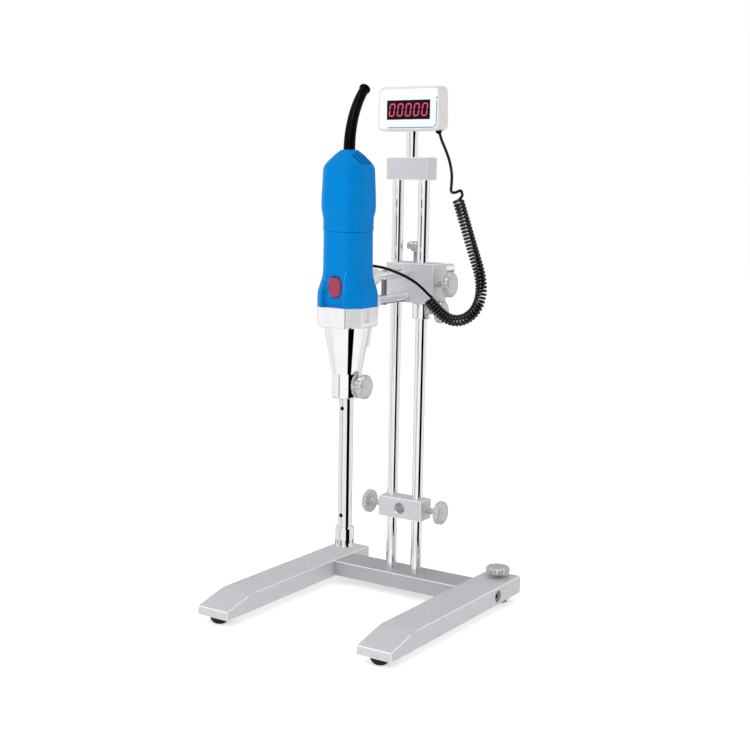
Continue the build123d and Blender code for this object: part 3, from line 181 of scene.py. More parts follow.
def make_cords():
    """Coiled signal cord with a lead to the display and a lead to the motor."""
    centreline = line_points([mm(*p) for p in coil_route])
    wire = helix_points(centreline)
    start, end = wire[0], wire[-1]
    start_way = (wire[1] - wire[0]).normalized()
    end_way = (wire[-1] - wire[-2]).normalized()
    path = line_points(wire)
    coil = as_mesh(spline_object("signal_coil", wire, WIRE / 2 * MM, 2))
    upper = [
        mm(38.8, 71.1, 582.7),
        mm(41.5, 69.5, 576.5),
        mm(52.5, 61.5, 564.5),
        mm(63.5, 53.5, 550.0),
        mm(70.5, 47.5, 535.0),
        mm(71.8, 44.5, 521.5),
        mm(73.6, 40.0, 515.2),
        mm(78.5, 36.2, 513.2),
        mm(84.5, 34.6, 514.0),
        start - start_way * 4.0 * MM,
        start,
    ]
    lower = [
        end,
        end + end_way * 4.0 * MM,
        mm(43.5, 23.0, 404.0),
        mm(34.0, 12.0, 413.5),
        mm(24.5, -3.5, 421.0),
        mm(16.5, -18.0, 426.5),
        mm(10.6, -34.7, 428.9),
    ]
    upper_lead = spline_object("display_lead", upper, WIRE / 2 * MM, 3)
    lower_lead_line = line_points(lower)
    lower_lead = as_mesh(spline_object("motor_lead", lower, WIRE / 2 * MM, 3))
    return coil, path, upper_lead, upper, lower_lead, lower_lead_line


coil, coil_line, upper_lead, upper_route, lower_lead, lower_line = make_cords()


def line_length(points):
    """Length of the line through the points, in order."""
    return sum((b - a).length for a, b in zip(points, points[1:]))


def make_floor():
    """Wide round bench top that the pieces' mirrors don't show."""
    mesh = bpy.data.meshes.new("bench_top")
    shape = bmesh.new()
    bmesh.ops.create_circle(shape, cap_ends=True, segments=96, radius=6.0)
    shape.to_mesh(mesh)
    shape.free()
    floor = bpy.data.objects.new("bench_top", mesh)
    bpy.context.scene.collection.objects.link(floor)
    floor.visible_glossy = False
    return floor


def add_light(name, place, aim, width, height, power):
    """Soft box at a place in metres, turned to its aim and left out of reflections."""
    light = bpy.data.lights.new(name, "AREA")
    light.shape = "RECTANGLE"
    light.size = width
    light.size_y = height
    light.energy = power
    lamp = bpy.data.objects.new(name, light)
    lamp.location = place
    lamp.rotation_euler = (Vector(aim) - Vector(place)).to_track_quat("-Z", "Y").to_euler()
    lamp.visible_glossy = False
    bpy.context.scene.collection.objects.link(lamp)
    return lamp


# ------------------------------------------------------------------ materials
def linear(code):
    """sRGB hex colour as a linear RGBA tuple."""
    channels = [int(code[i : i + 2], 16) / 255 for i in (1, 3, 5)]
    curved = [c / 12.92 if c <= 0.04045 else ((c + 0.055) / 1.055) ** 2.4 for c in channels]
    return (*curved, 1.0)


def add_node(tree, kind, settings=None, links=None):
    """Adds a node, sets its properties or inputs by name and links its inputs."""
    node = tree.nodes.new(kind)
    for key, value in (settings or {}).items():
        if isinstance(key, int) or (key in node.inputs and not hasattr(node, key)):
            node.inputs[key].default_value = value
        else:
            setattr(node, key, value)
    for key, socket in (links or {}).items():
        tree.links.new(socket, node.inputs[key])
    return node


def finish(
    name, dark, light, roughness, metallic=0.0, grain_mm=1.0, relief_mm=0.03,
    stretch=(1.0, 1.0, 1.0), wander=0.2, broad_mm=0.0, **constants,
):
    """Surface finish: two near tones, a roughness that wanders and a fine relief, all by one grain.

    grain_mm is the size of the grain on the piece, stretch draws it out along an axis, and broad_mm,
    where given, is the size of the slower change between the two tones.
    """
    material = bpy.data.materials.new(name)
    material.use_nodes = True
    tree = material.node_tree
    shader = tree.nodes["Principled BSDF"]
    shader.inputs["Metallic"].default_value = metallic
    for key, value in constants.items():
        shader.inputs[key.replace("_", " ")].default_value = value
    where = add_node(tree, "ShaderNodeTexCoord")
    drawn = add_node(tree, "ShaderNodeMapping", {"Scale": stretch}, {"Vector": where.outputs["Object"]})
    grain = add_node(
        tree,
        "ShaderNodeTexNoise",
        {"Scale": 1.0 / (grain_mm * MM), "Detail": 3.0, "Roughness": 0.6},
        {"Vector": drawn.outputs["Vector"]},
    )
    broad = add_node(
        tree,
        "ShaderNodeTexNoise",
        {"Scale": 1.0 / ((broad_mm or grain_mm) * MM), "Detail": 3.0, "Roughness": 0.6},
        {"Vector": drawn.outputs["Vector"]},
    )
    tones = add_node(tree, "ShaderNodeValToRGB", {}, {"Fac": broad.outputs["Fac"]})
    tones.color_ramp.elements[0].position = 0.35
    tones.color_ramp.elements[0].color = linear(dark)
    tones.color_ramp.elements[1].position = 0.65
    tones.color_ramp.elements[1].color = linear(light)
    tree.links.new(tones.outputs["Color"], shader.inputs["Base Color"])
    gloss = add_node(
        tree,
        "ShaderNodeMapRange",
        {"To Min": roughness * (1 - wander), "To Max": min(1.0, roughness * (1 + wander))},
        {"Value": grain.outputs["Fac"]},
    )
    tree.links.new(gloss.outputs["Result"], shader.inputs["Roughness"])
    relief = add_node(
        tree,
        "ShaderNodeBump",
        {"Strength": 1.0, "Distance": relief_mm * MM},
        {"Height": grain.outputs["Fac"]},
    )
    tree.links.new(relief.outputs["Normal"], shader.inputs["Normal"])
    return material


# sand blasted, clear anodised aluminium: a pale grey with a fine sparkle; the grit's dimples are
# 0.1 to 0.2 mm, drawn at 0.9 mm so that they show
aluminium = finish("blasted_anodised_aluminium", "#BBBCC0", "#E6E7EA", 0.5, 0.45, 0.9, 0.06)
# the cross beam: the same blasting, in a deeper grey
beam_aluminium = finish("deeper_anodised_aluminium", "#9C9EA2", "#C3C5C8", 0.5, 0.45, 0.9, 0.06)
# hard chromed bar: a clean mirror, with polishing lines of 0.8 mm drawn out along the column
chrome = finish("hard_chrome", "#F0F0F2", "#F6F6F8", 0.02, 1.0, 0.8, 0.0, (1.0, 1.0, 0.02))
# ground silver steel: bright, with grinding lines of 0.5 mm drawn out along the rod
steel_rod = finish("ground_silver_steel", "#E4E5E6", "#FAFAFB", 0.16, 0.8, 0.5, 0.01, (1.0, 0.02, 1.0))
# tumbled die casting under a thin lacquer: nearly white, with a soft mottle of 3 mm
casting = finish(
    "tumbled_die_casting", "#EAE9EA", "#EEEDEF", 0.32, 0.3, 1.2, 0.008, broad_mm=4.0,
    Coat_Weight=0.15, Coat_Roughness=0.15,
)
# turned and tumbled zinc alloy: satin grey, with a grain of 1.1 mm
knob_metal = finish("tumbled_zinc_alloy", "#B6B6B5", "#D6D6D5", 0.34, 0.55, 1.1, 0.03)
# polished aluminium: a mirror a little softer than chrome, with a slow change of gloss
polished_cone = finish(
    "polished_aluminium", "#F6F6F7", "#FBFBFB", 0.03, 1.0, 20.0, 0.0, wander=0.1
)
# polished stainless tube: a mirror with a trace of grey
stainless = finish(
    "polished_stainless", "#E6E7E8", "#EEEFEF", 0.025, 1.0, 0.8, 0.0, (1.0, 1.0, 0.03)
)
# azure ABS moulding: an even, saturated blue with a low satin gloss; spark texture of 0.5 mm
azure_abs = finish(
    "azure_abs", "#007CC6", "#0080CE", 0.42, 0.0, 0.5, 0.008, broad_mm=30.0, Specular_IOR_Level=0.04
)
# lighter blue of the beads down the switch panel's sides: a painted highlight along the panel's edges,
# on the same moulding
bead_painted_highlight = finish(
    "azure_bead_painted_highlight", "#3FA2E2", "#4BACE8", 0.3, 0.0, 0.5, 0.0, Specular_IOR_Level=0.2
)
# polycarbonate rocker, dull raspberry red, with a matt texture of 0.6 mm
switch_red = finish(
    "dull_red_polycarbonate", "#963450", "#A43E58", 0.55, 0.0, 0.6, 0.03, broad_mm=6.0,
    Specular_IOR_Level=0.25,
)
# moulded black rubber of the cord guard: nearly black, a faint broad sheen
guard_rubber = finish(
    "moulded_black_rubber", "#020202", "#050505", 0.4, 0.0, 0.9, 0.03, Specular_IOR_Level=0.06
)
# rubber of the feet: matt black with a 1.2 mm grain
foot_rubber = finish("foot_rubber", "#121214", "#1A1A1C", 0.7, 0.0, 1.2, 0.06, Specular_IOR_Level=0.3)
# white ABS of the display case: a warm off white, satin, spark texture of 0.6 mm
white_abs = finish(
    "white_abs", "#D8D5D3", "#DCD9D7", 0.36, 0.0, 0.6, 0.008, broad_mm=40.0, Specular_IOR_Level=0.25
)
# polyurethane cord sheath: deep black with a narrow sheen; the extruder's faint waves are 2 mm
cord_sheath = finish(
    "polyurethane_sheath", "#020203", "#040405", 0.3, 0.0, 2.0, 0.01, Specular_IOR_Level=0.15
)
# the same sheath where it is wound hot into the coil: glazed by the mandrel, so it glints
curled_sheath = finish(
    "glazed_sheath", "#020203", "#050506", 0.13, 0.0, 2.0, 0.01, Specular_IOR_Level=0.5
)
# label stuck on the display face: bright white film with a faint orange peel of 3 mm
label_film = finish(
    "white_label_film", "#F2F4F6", "#F6F8FA", 0.3, 0.0, 3.0, 0.004, Specular_IOR_Level=0.3
)
# smoked acrylic window: almost black with a red tinge, smooth
window_face = finish(
    "smoked_acrylic", "#0A0306", "#100509", 0.06, 0.0, 4.0, 0.0, broad_mm=20.0, Specular_IOR_Level=0.15
)
# lit segments: rose red that glows without a halo
lit_segment = finish(
    "lit_segment", "#B03A5C", "#C24468", 0.5, 0.0, 1.0, 0.0,
    Emission_Color=linear("#E0507C"), Emission_Strength=0.55, Specular_IOR_Level=0.1,
)
# painted highlight on the blocks' narrow chamfers: bright near white aluminium, with a grain of 0.7 mm
chamfer_highlight_paint = finish("painted_chamfer_highlight", "#F4F4F6", "#FDFDFE", 0.4, 0.2, 0.7, 0.01)
# shadow in a joint between two castings
joint_shadow = finish("joint_shadow", "#3A3A3C", "#48484A", 0.7, 0.0, 0.7, 0.0, Specular_IOR_Level=0.1)
# screen printed blue of the trim line, satin
trim_blue = finish("printed_blue", "#1F86B4", "#2A92C0", 0.45, 0.0, 0.5, 0.0, Specular_IOR_Level=0.2)
# red lens of the lamp
lamp_red = finish("red_lens", "#A03028", "#B43A30", 0.2, 0.0, 0.5, 0.0, Specular_IOR_Level=0.4)
# zinc plated screws: grey, with a fine mottle
screw_steel = finish("zinc_plated_steel", "#7E8084", "#9FA1A5", 0.35, 0.9, 0.8, 0.03)
# ground bearing steel
bearing_steel = finish("bearing_steel", "#8E9093", "#A5A7AA", 0.28, 0.95, 1.5, 0.02)
# varnished laminations of the core and the field: brown, sheet edges of 0.8 mm
lamination = finish("varnished_lamination", "#4A3A30", "#5E4A3C", 0.5, 0.4, 0.8, 0.03, (0.2, 0.2, 1.0))
# turned copper of the commutator
copper = finish("turned_copper", "#A86A42", "#C07E52", 0.3, 0.95, 0.7, 0.02, (0.1, 0.1, 1.0))
# glass filled black nylon of the fan, brush holders and switch body
inner_plastic = finish("black_nylon", "#151518", "#1F1F22", 0.5, 0.0, 1.5, 0.03)
# white PTFE of the shaft bushes: waxy
ptfe = finish("white_ptfe", "#DAD8CF", "#E6E4DC", 0.45, 0.0, 1.5, 0.02)
# lacquered circuit board: green, with copper pours of 4 mm showing through as a mottle
board_green = finish("lacquered_board", "#0E4A24", "#15602F", 0.4, 0.0, 1.5, 0.02, broad_mm=4.0)

finishes = {
    aluminium: "left_leg right_leg top_bridge slide_block clamp_block",
    beam_aluminium: "cross_beam",
    chrome: "left_column right_column display_rod stop_collar",
    steel_rod: "upper_arm_rod lower_arm_rod",
    casting: "motor_bracket gear_case",
    knob_metal: "levelling_knob block_knob arm_lock_knob stop_collar_knob clamp_left_knob"
    " clamp_right_knob cone_thumb_screw",
    polished_cone: "adapter_cone",
    stainless: "stator_tube stator_head rotor drive_shaft",
    azure_abs: "motor_housing motor_rear_cover",
    switch_red: "switch_rocker",
    guard_rubber: "cord_guard display_gland signal_gland",
    foot_rubber: "rubber_feet levelling_foot",
    white_abs: "display_case display_rear_cover",
    window_face: "display_window display_digits",
    screw_steel: "beam_bolts column_bolts bridge_grub_screws display_screws bracket_screws"
    " housing_screws arm_tie_pin",
    bearing_steel: "spindle_bearings shaft_coupling",
    lamination: "armature field_stator",
    copper: "commutator",
    inner_plastic: "cooling_fan brush_gear speed_sensor switch_body",
    ptfe: "tube_bushings",
    board_green: "display_board",
}


def dress(thing, material):
    """Gives a piece one finish in place of what it has."""
    thing.data.materials.clear()
    thing.data.materials.append(material)


for material, names in finishes.items():
    for name in names.split():
        dress(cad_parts[name], material)


# ------------------------------------------------------------------ shapes
def eased(corners, steps=4, closed=False):
    """Line through corners (u, v, cut) whose corners are rounded off from cut before to cut after."""
    count = len(corners)
    found = []
    for index, (u, v, cut) in enumerate(corners):
        here = Vector((u, v))
        if cut == 0 or (not closed and index in (0, count - 1)):
            found.append(here)
            continue
        before = Vector(corners[index - 1][:2])
        after = Vector(corners[(index + 1) % count][:2])
        start = here + (before - here).normalized() * min(cut, 0.48 * (before - here).length)
        end = here + (after - here).normalized() * min(cut, 0.48 * (after - here).length)
        for step in range(steps + 1):
            part = step / steps
            found.append(start.lerp(here, part).lerp(here.lerp(end, part), part))
    return found


def skin(rings, closed_start=False, closed_end=False):
    """Vertices and faces of a skin through closed rings of equally many points."""
    size = len(rings[0])
    vertices = [point for ring in rings for point in ring]
    faces = []
    for level in range(len(rings) - 1):
        low = level * size
        for i in range(size):
            j = (i + 1) % size
            faces.append((low + i, low + j, low + size + j, low + size + i))
    if closed_start:
        faces.append(tuple(reversed(range(size))))
    if closed_end:
        faces.append(tuple(range(len(vertices) - size, len(vertices))))
    return vertices, faces


def make_piece(name, vertices, faces, sharp=35.0):
    """Mesh object with doubles merged, normals outwards and edges sharper than an angle kept."""
    mesh = bpy.data.meshes.new(name)
    mesh.from_pydata([tuple(v) for v in vertices], [], faces)
    tidy(mesh, sharp)
    piece = bpy.data.objects.new(name, mesh)
    bpy.context.scene.collection.objects.link(piece)
    return piece


def tidy(mesh, sharp=35.0):
    """Merges doubles, turns normals outwards and shades smooth below an angle in degrees."""
    shape = bmesh.new()
    shape.from_mesh(mesh)
    bmesh.ops.remove_doubles(shape, verts=shape.verts, dist=MERGE_MM * MM)
    bmesh.ops.recalc_face_normals(shape, faces=shape.faces)
    shape.to_mesh(mesh)
    shape.free()
    for polygon in mesh.polygons:
        polygon.use_smooth = True
    mesh.set_sharp_from_angle(angle=radians(sharp))


def cut_from(piece, cutter):
    """Cuts one closed piece out of another and returns the cut piece."""
    cut = piece.modifiers.new("opening", "BOOLEAN")
    cut.operation = "DIFFERENCE"
    cut.solver = "EXACT"
    cut.object = cutter
    left = as_mesh(piece)
    bpy.data.objects.remove(cutter)
    tidy(left.data)
    return left


def belongs(piece, body, slot, material, *nodes):
    """Gives a finished piece its finish and its body, and hides the solids that it stands for."""
    dress(piece, material)
    if nodes:
        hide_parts(*nodes)
    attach(piece, body)


# ------------------------------------------------------------------ node trees for what repeats
def node_inputs(tree, sizes):
    """Names the tree's inputs, each with its kind and starting value."""
    tree.interface.new_socket("Geometry", in_out="INPUT", socket_type="NodeSocketGeometry")
    for name, (kind, value) in sizes.items():
        socket = tree.interface.new_socket(name, in_out="INPUT", socket_type=kind)
        if value is not None:
            socket.default_value = value
    tree.interface.new_socket("Geometry", in_out="OUTPUT", socket_type="NodeSocketGeometry")


def row_tree():
    """Repeats a piece along a straight row."""
    tree = bpy.data.node_groups.new("row_of_pieces", "GeometryNodeTree")
    node_inputs(
        tree,
        {
            "Count": ("NodeSocketInt", 5),
            "Step": ("NodeSocketVector", (0.01, 0.0, 0.0)),
            "Finish": ("NodeSocketMaterial", None),
        },
    )
    given = add_node(tree, "NodeGroupInput")
    row = add_node(
        tree,
        "GeometryNodeMeshLine",
        {"mode": "OFFSET"},
        {"Count": given.outputs["Count"], "Offset": given.outputs["Step"]},
    )
    copies = add_node(
        tree,
        "GeometryNodeInstanceOnPoints",
        {},
        {"Points": row.outputs["Mesh"], "Instance": given.outputs["Geometry"]},
    )
    real = add_node(
        tree, "GeometryNodeRealizeInstances", {}, {"Geometry": copies.outputs["Instances"]}
    )
    dressed = add_node(
        tree,
        "GeometryNodeSetMaterial",
        {},
        {"Geometry": real.outputs["Geometry"], "Material": given.outputs["Finish"]},
    )
    add_node(tree, "NodeGroupOutput", {}, {"Geometry": dressed.outputs["Geometry"]})
    return tree


def grown(piece, tree, sizes):
    """The piece as a node tree makes it, as a plain mesh."""
    grower = piece.modifiers.new(tree.name, "NODES")
    grower.node_group = tree
    for item in tree.interface.items_tree:
        if item.in_out == "INPUT" and item.name in sizes:
            grower[item.identifier] = sizes[item.name]
    return as_mesh(piece)


# ------------------------------------------------------------------ motor housing
MOTOR_Y = -66.0
CASE_TOP = 383.0
SEAM = 469.5
CROWN = 561.5
FLARE_HALF = 31.3
PANEL_Y = -91.7
PANEL_HALF = 15.8
PANEL_EASE = 3.2
BEAD_RADIUS = 0.35
FACET_SHARE = 0.43
# the front facet is cut finely, for the scoop of its panel
FRONT_FACET = 6
FRONT_STEPS = 18
ROCKER_Z = 406.5
ROCKER_HALF_WIDTH = 8.8
ROCKER_HALF_HEIGHT = 11.6
# the waist between the lobes, as shares of the outline's height and width
WAIST_AT = -0.12
WAIST_REACH = 0.22
WAIST_DEPTH = 0.085
LOWER_LOBE_SHARE = 0.93
# how far the rocker stands out of the panel, how deep its kink is pressed, and its slant
ROCKER_PROUD = 1.6
KINK_DEPTH = 1.7
KINK_Z = -1.4
KINK_REACH = 10.0
ROCKER_SLANT = 0.055
# room round the rocker, sideways and up, and how far the opening is cut
ROCKER_GAP = (0.6, 1.1)
OPENING_Y = (-96.0, -84.0)


def housing_ring(half, z):
    """Closed ring of points round the motor: a square with cut and rounded corners."""
    flat = half * (1 - FACET_SHARE)
    cut = min(4.5, 0.2 * half)
    corners = [
        (half, -flat), (half, flat), (flat, half), (-flat, half),
        (-half, flat), (-half, -flat), (-flat, -half), (flat, -half),
    ]
    line = eased([(x, y, cut) for x, y in corners], 4, closed=True)
    ring = []
    for side in range(8):
        arc = line[5 * side : 5 * side + 5]
        after = line[(5 * side + 5) % 40]
        steps = FRONT_STEPS if side == FRONT_FACET else (4 if side % 2 == 0 else 2)
        ring += arc
        ring += [arc[-1].lerp(after, step / steps) for step in range(1, steps)]
    return [mm(p.x, MOTOR_Y + p.y, z) for p in ring]


def scooped(point):
    """Presses the front of the flare back to the flat panel that carries the switch."""
    x, y = abs(point.x) / MM, point.y / MM
    share = min(1.0, max(0.0, (PANEL_HALF - x) / PANEL_EASE))
    smooth = share * share * (3 - 2 * share)
    if y < PANEL_Y:
        y += (PANEL_Y - y) * smooth
    return Vector((point.x, y * MM, point.z))


def rocker_line(grow, z_grow, steps=48):
    """Outline of the rocker: two lobes with a faint waist, drawn out by grow and z_grow."""
    found = []
    for step in range(steps):
        angle = 2 * pi * step / steps
        across, upward = cos(angle), sin(angle)
        waist = 1.0 - WAIST_DEPTH * max(0.0, 1.0 - abs(upward - WAIST_AT) / WAIST_REACH)
        lower = LOWER_LOBE_SHARE if upward < WAIST_AT else 1.0
        half = (ROCKER_HALF_WIDTH * waist * lower + grow) * copysign(abs(across) ** 0.72, across)
        tall = (ROCKER_HALF_HEIGHT + z_grow) * copysign(abs(upward) ** 0.9, upward)
        found.append((half, tall))
    return found


def make_grip_shell():
    """Lower half of the motor housing: straight grip that flares to the gear case."""
    outline = eased(
        [
            (FLARE_HALF, CASE_TOP, 0), (FLARE_HALF, 399.5, 5.0), (26.6, 416.0, 6.5),
            (25.7, 423.0, 4.0), (25.3, SEAM - 0.5, 0),
        ],
        6,
    )
    outline[1:1] = [Vector((FLARE_HALF, CASE_TOP + 5.0))]
    rings = [[scooped(p) for p in housing_ring(half, z)] for half, z in outline]
    rings.append(housing_ring(24.6, SEAM - 0.1))
    piece = make_piece("grip_shell", *skin(rings, True, True))
    edge = rocker_line(*ROCKER_GAP)
    ends = [[mm(x, y, ROCKER_Z + z) for x, z in edge] for y in OPENING_Y]
    cutter = make_piece("rocker_opening", *skin(ends, True, True))
    return cut_from(piece, cutter)


def make_rocker():
    """Two lobed rocker with a pressed in kink, set a little slanted; the real one tilts on its pin
    behind the panel.
    """
    # how far behind its face each ring lies, and how far it is drawn in
    steps = (
        (6.2, 0.0), (0.0, 0.0), (-0.7, 0.25), (-1.0, 0.8), (-1.15, 2.4), (-1.2, 4.6), (-1.2, 6.6),
    )
    rings = []
    for sink, shrink in steps:
        ring = []
        for x, z in rocker_line(-shrink, -shrink * 1.2):
            kink = KINK_DEPTH * max(0.0, 1.0 - abs(z - KINK_Z) / KINK_REACH) if sink < 0 else 0.0
            lean = ROCKER_SLANT * (z + 6.0)
            ring.append(mm(x, PANEL_Y - ROCKER_PROUD + sink + kink - lean, ROCKER_Z + z))
        rings.append(ring)
    return make_piece("switch_rocker_cap", *skin(rings, True, True), sharp=50.0)


def make_panel_beads():
    """Fine raised beads down both sides of the switch panel, the right one slanted in at its top."""
    beads = []
    left = ((-14.2, 421.0), (-14.2, 386.0))
    right = ((14.8, 425.0), (12.2, 413.0), (12.2, 386.0))
    for route in (left, right):
        curve = bpy.data.curves.new("panel_bead", "CURVE")
        curve.dimensions = "3D"
        curve.bevel_depth = BEAD_RADIUS * MM
        curve.bevel_resolution = 2
        curve.use_fill_caps = True
        line = curve.splines.new("POLY")
        line.points.add(len(route) - 1)
        for point, (x, z) in zip(line.points, route):
            # the panel rises a little to its sides where the housing flares
            lift = max(0.0, abs(x) - 12.6) * 0.25 if z < 400 else 0.0
            point.co = (*mm(x, PANEL_Y - 0.1 - lift, z), 1.0)
        bead = bpy.data.objects.new("panel_bead", curve)
        bpy.context.scene.collection.objects.link(bead)
        beads.append(as_mesh(bead))
    vertices, faces = [], []
    for bead in beads:
        first = len(vertices)
        vertices += [v.co.copy() for v in bead.data.vertices]
        faces += [tuple(first + i for i in p.vertices) for p in bead.data.polygons]
        bpy.data.objects.remove(bead)
    return make_piece("panel_beads", vertices, faces, sharp=60.0)


# four slots in each shoulder; the shoulder climbs inwards from its foot to its head
SLOT_COUNT = 4
SLOT_PITCH = 5.5
FIRST_SLOT_Y = MOTOR_Y - 11.25
SHOULDER_FOOT = (23.2, 547.2)
SHOULDER_HEAD = (15.4, 555.6)
SHOULDER_SLOPE = 1.077
SLOT_DEPTH = 2.2


def slot_outline(inner, outer, half, cut):
    """Outline of one slot seen from above, from inner to outer, with rounded ends."""
    corners = [(inner, -half, cut), (outer, -half, cut), (outer, half, cut), (inner, half, cut)]
    return eased(corners, 3, closed=True)


def slot_ring(outline, side, height):
    """The slot's outline on one side of the motor, at the height that a function gives for x."""
    return [mm(side * p.x, FIRST_SLOT_Y + p.y, height(p.x)) for p in outline]


def slot_floor(x):
    """Height of the slots' dark floors, a little under the shoulder's surface."""
    foot_x, foot_z = SHOULDER_FOOT
    return foot_z + (foot_x - max(x, SHOULDER_HEAD[0])) * SHOULDER_SLOPE - SLOT_DEPTH


def in_row(piece, rows, name):
    """One slot's piece, repeated for the four slots of a shoulder."""
    row = grown(piece, rows, {"Count": SLOT_COUNT, "Step": (0.0, SLOT_PITCH * MM, 0.0)})
    row.name = name
    return row


def make_slot_shadows(rows):
    """Dark floors deep in the cooling slots."""
    outline = slot_outline(11.4, 24.2, 1.5, 1.3)
    vertices, faces = [], []
    for side in (-1, 1):
        low = slot_ring(outline, side, lambda x: 536.0)
        high = slot_ring(outline, side, slot_floor)
        some, sides = skin([low, high], True, True)
        faces += [tuple(len(vertices) + i for i in face) for face in sides]
        vertices += some
    return in_row(make_piece("slot_shadow", vertices, faces), rows, "slot_shadows")


def make_rear_shell(rows):
    """Upper half of the housing with sloping shoulders, cooling slots and a flat crown."""
    outline = eased(
        [
            (25.9, SEAM + 0.7, 0), (25.9, 485.0, 3.0), (27.7, 493.0, 3.0), (28.0, 503.0, 8.0),
            (26.4, 541.5, 3.5), (*SHOULDER_FOOT, 2.4), (*SHOULDER_HEAD, 1.5), (9.2, 560.9, 1.0),
            (8.4, CROWN, 0),
        ],
        6,
    )
    rings = [housing_ring(24.8, SEAM + 0.1), housing_ring(25.5, SEAM + 0.2)]
    rings += [housing_ring(half, z) for half, z in outline]
    piece = make_piece("rear_shell", *skin(rings, True, True))
    outline = slot_outline(11.0, 24.5, 1.6, 1.4)
    for side in (-1, 1):
        low = slot_ring(outline, side, lambda x: 541.0 if x < 18 else 538.0)
        high = slot_ring(outline, side, lambda x: 566.0)
        one = make_piece("cooling_slot", *skin([low, high], True, True))
        slots = in_row(one, rows, "cooling_slots")
        tidy(slots.data)
        piece = cut_from(piece, slots)
    return piece


def make_case_joint_shadow():
    """Painted shadow of the upright joint at the front corner of the gear case and of the small notch
    beside it, laid on as dark strips.
    """
    # place on the case, way along its face, half width, foot and head
    strips = (
        ((17.85, -97.22), (0.924, 0.383), 0.45, 360.6, 382.6),
        ((22.4, -93.0), (0.707, 0.707), 1.1, 359.7, 361.6),
    )
    proud, sunk = 0.06, -0.4
    vertices, faces = [], []
    for place, way, half_width, low, high in strips:
        tangent = Vector(way)
        outward = Vector((tangent.y, -tangent.x))
        corners = []
        for along, out in ((-1, proud), (1, proud), (1, sunk), (-1, sunk)):
            corners.append(Vector(place) + tangent * half_width * along + outward * out)
        first = len(vertices)
        vertices += [mm(c.x, c.y, low) for c in corners] + [mm(c.x, c.y, high) for c in corners]
        faces.append((first + 3, first + 2, first + 1, first))
        faces.append((first + 4, first + 5, first + 6, first + 7))
        for i in range(4):
            j = (i + 1) % 4
            faces.append((first + i, first + j, first + 4 + j, first + 4 + i))
    return make_piece("case_joint_shadow", vertices, faces, sharp=20.0)


# ------------------------------------------------------------------ painted highlights on the blocks' chamfers
SKIN_PROUD = 0.04
SKIN_SUNK = 0.06
CHAMFER_WIDTHS = (0.7, 1.5)
RIM_REACH = 0.6
SHORTEST_EDGE = 6.0


def make_chamfer_highlights(name, *nodes):
    """Thin skins over the narrow chamfers round the aluminium blocks' rims, a hair proud of them,
    bright as a painted highlight.
    """
    vertices, faces = [], []
    for node in nodes:
        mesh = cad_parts[node].data
        low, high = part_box(node)
        for polygon in mesh.polygons:
            corners = [mesh.vertices[i].co for i in polygon.vertices]
            longest = max((b - a).length for a, b in zip(corners, corners[1:] + corners[:1]))
            width = 2 * polygon.area / max(longest, 1e-9) / MM
            middle = sum(corners, Vector()) / len(corners)
            rim = min(min(middle[i] - low[i], high[i] - middle[i]) for i in range(3)) / MM
            slanted = max(abs(c) for c in polygon.normal) < 0.95
            narrow = CHAMFER_WIDTHS[0] < width < CHAMFER_WIDTHS[1]
            if not (slanted and narrow and rim < RIM_REACH and longest > SHORTEST_EDGE * MM):
                continue
            first = len(vertices)
            count = len(corners)
            proud = [c + polygon.normal * SKIN_PROUD * MM for c in corners]
            vertices += [Vector(min(max(c[i], low[i]), high[i]) for i in range(3)) for c in proud]
            vertices += [c - polygon.normal * SKIN_SUNK * MM for c in corners]
            faces.append(tuple(range(first, first + count)))
            faces.append(tuple(reversed(range(first + count, first + 2 * count))))
            for i in range(count):
                j = (i + 1) % count
                faces.append((first + j, first + i, first + count + i, first + count + j))
    mesh = bpy.data.meshes.new(name)
    mesh.from_pydata([tuple(v) for v in vertices], [], faces)
    piece = bpy.data.objects.new(name, mesh)
    bpy.context.scene.collection.objects.link(piece)
    return piece


# ------------------------------------------------------------------ clamping knobs
FLUTES = 18
COLUMNS = 144
FLUTE_DEPTH = 1.15
STUD_RADIUS = 4.0
THREAD_PITCH = 1.25
THREAD_DEPTH = 0.55
HUB_RADIUS = 7.0
HUB_LENGTH = 2.5
GRIP_LENGTH = 8.0


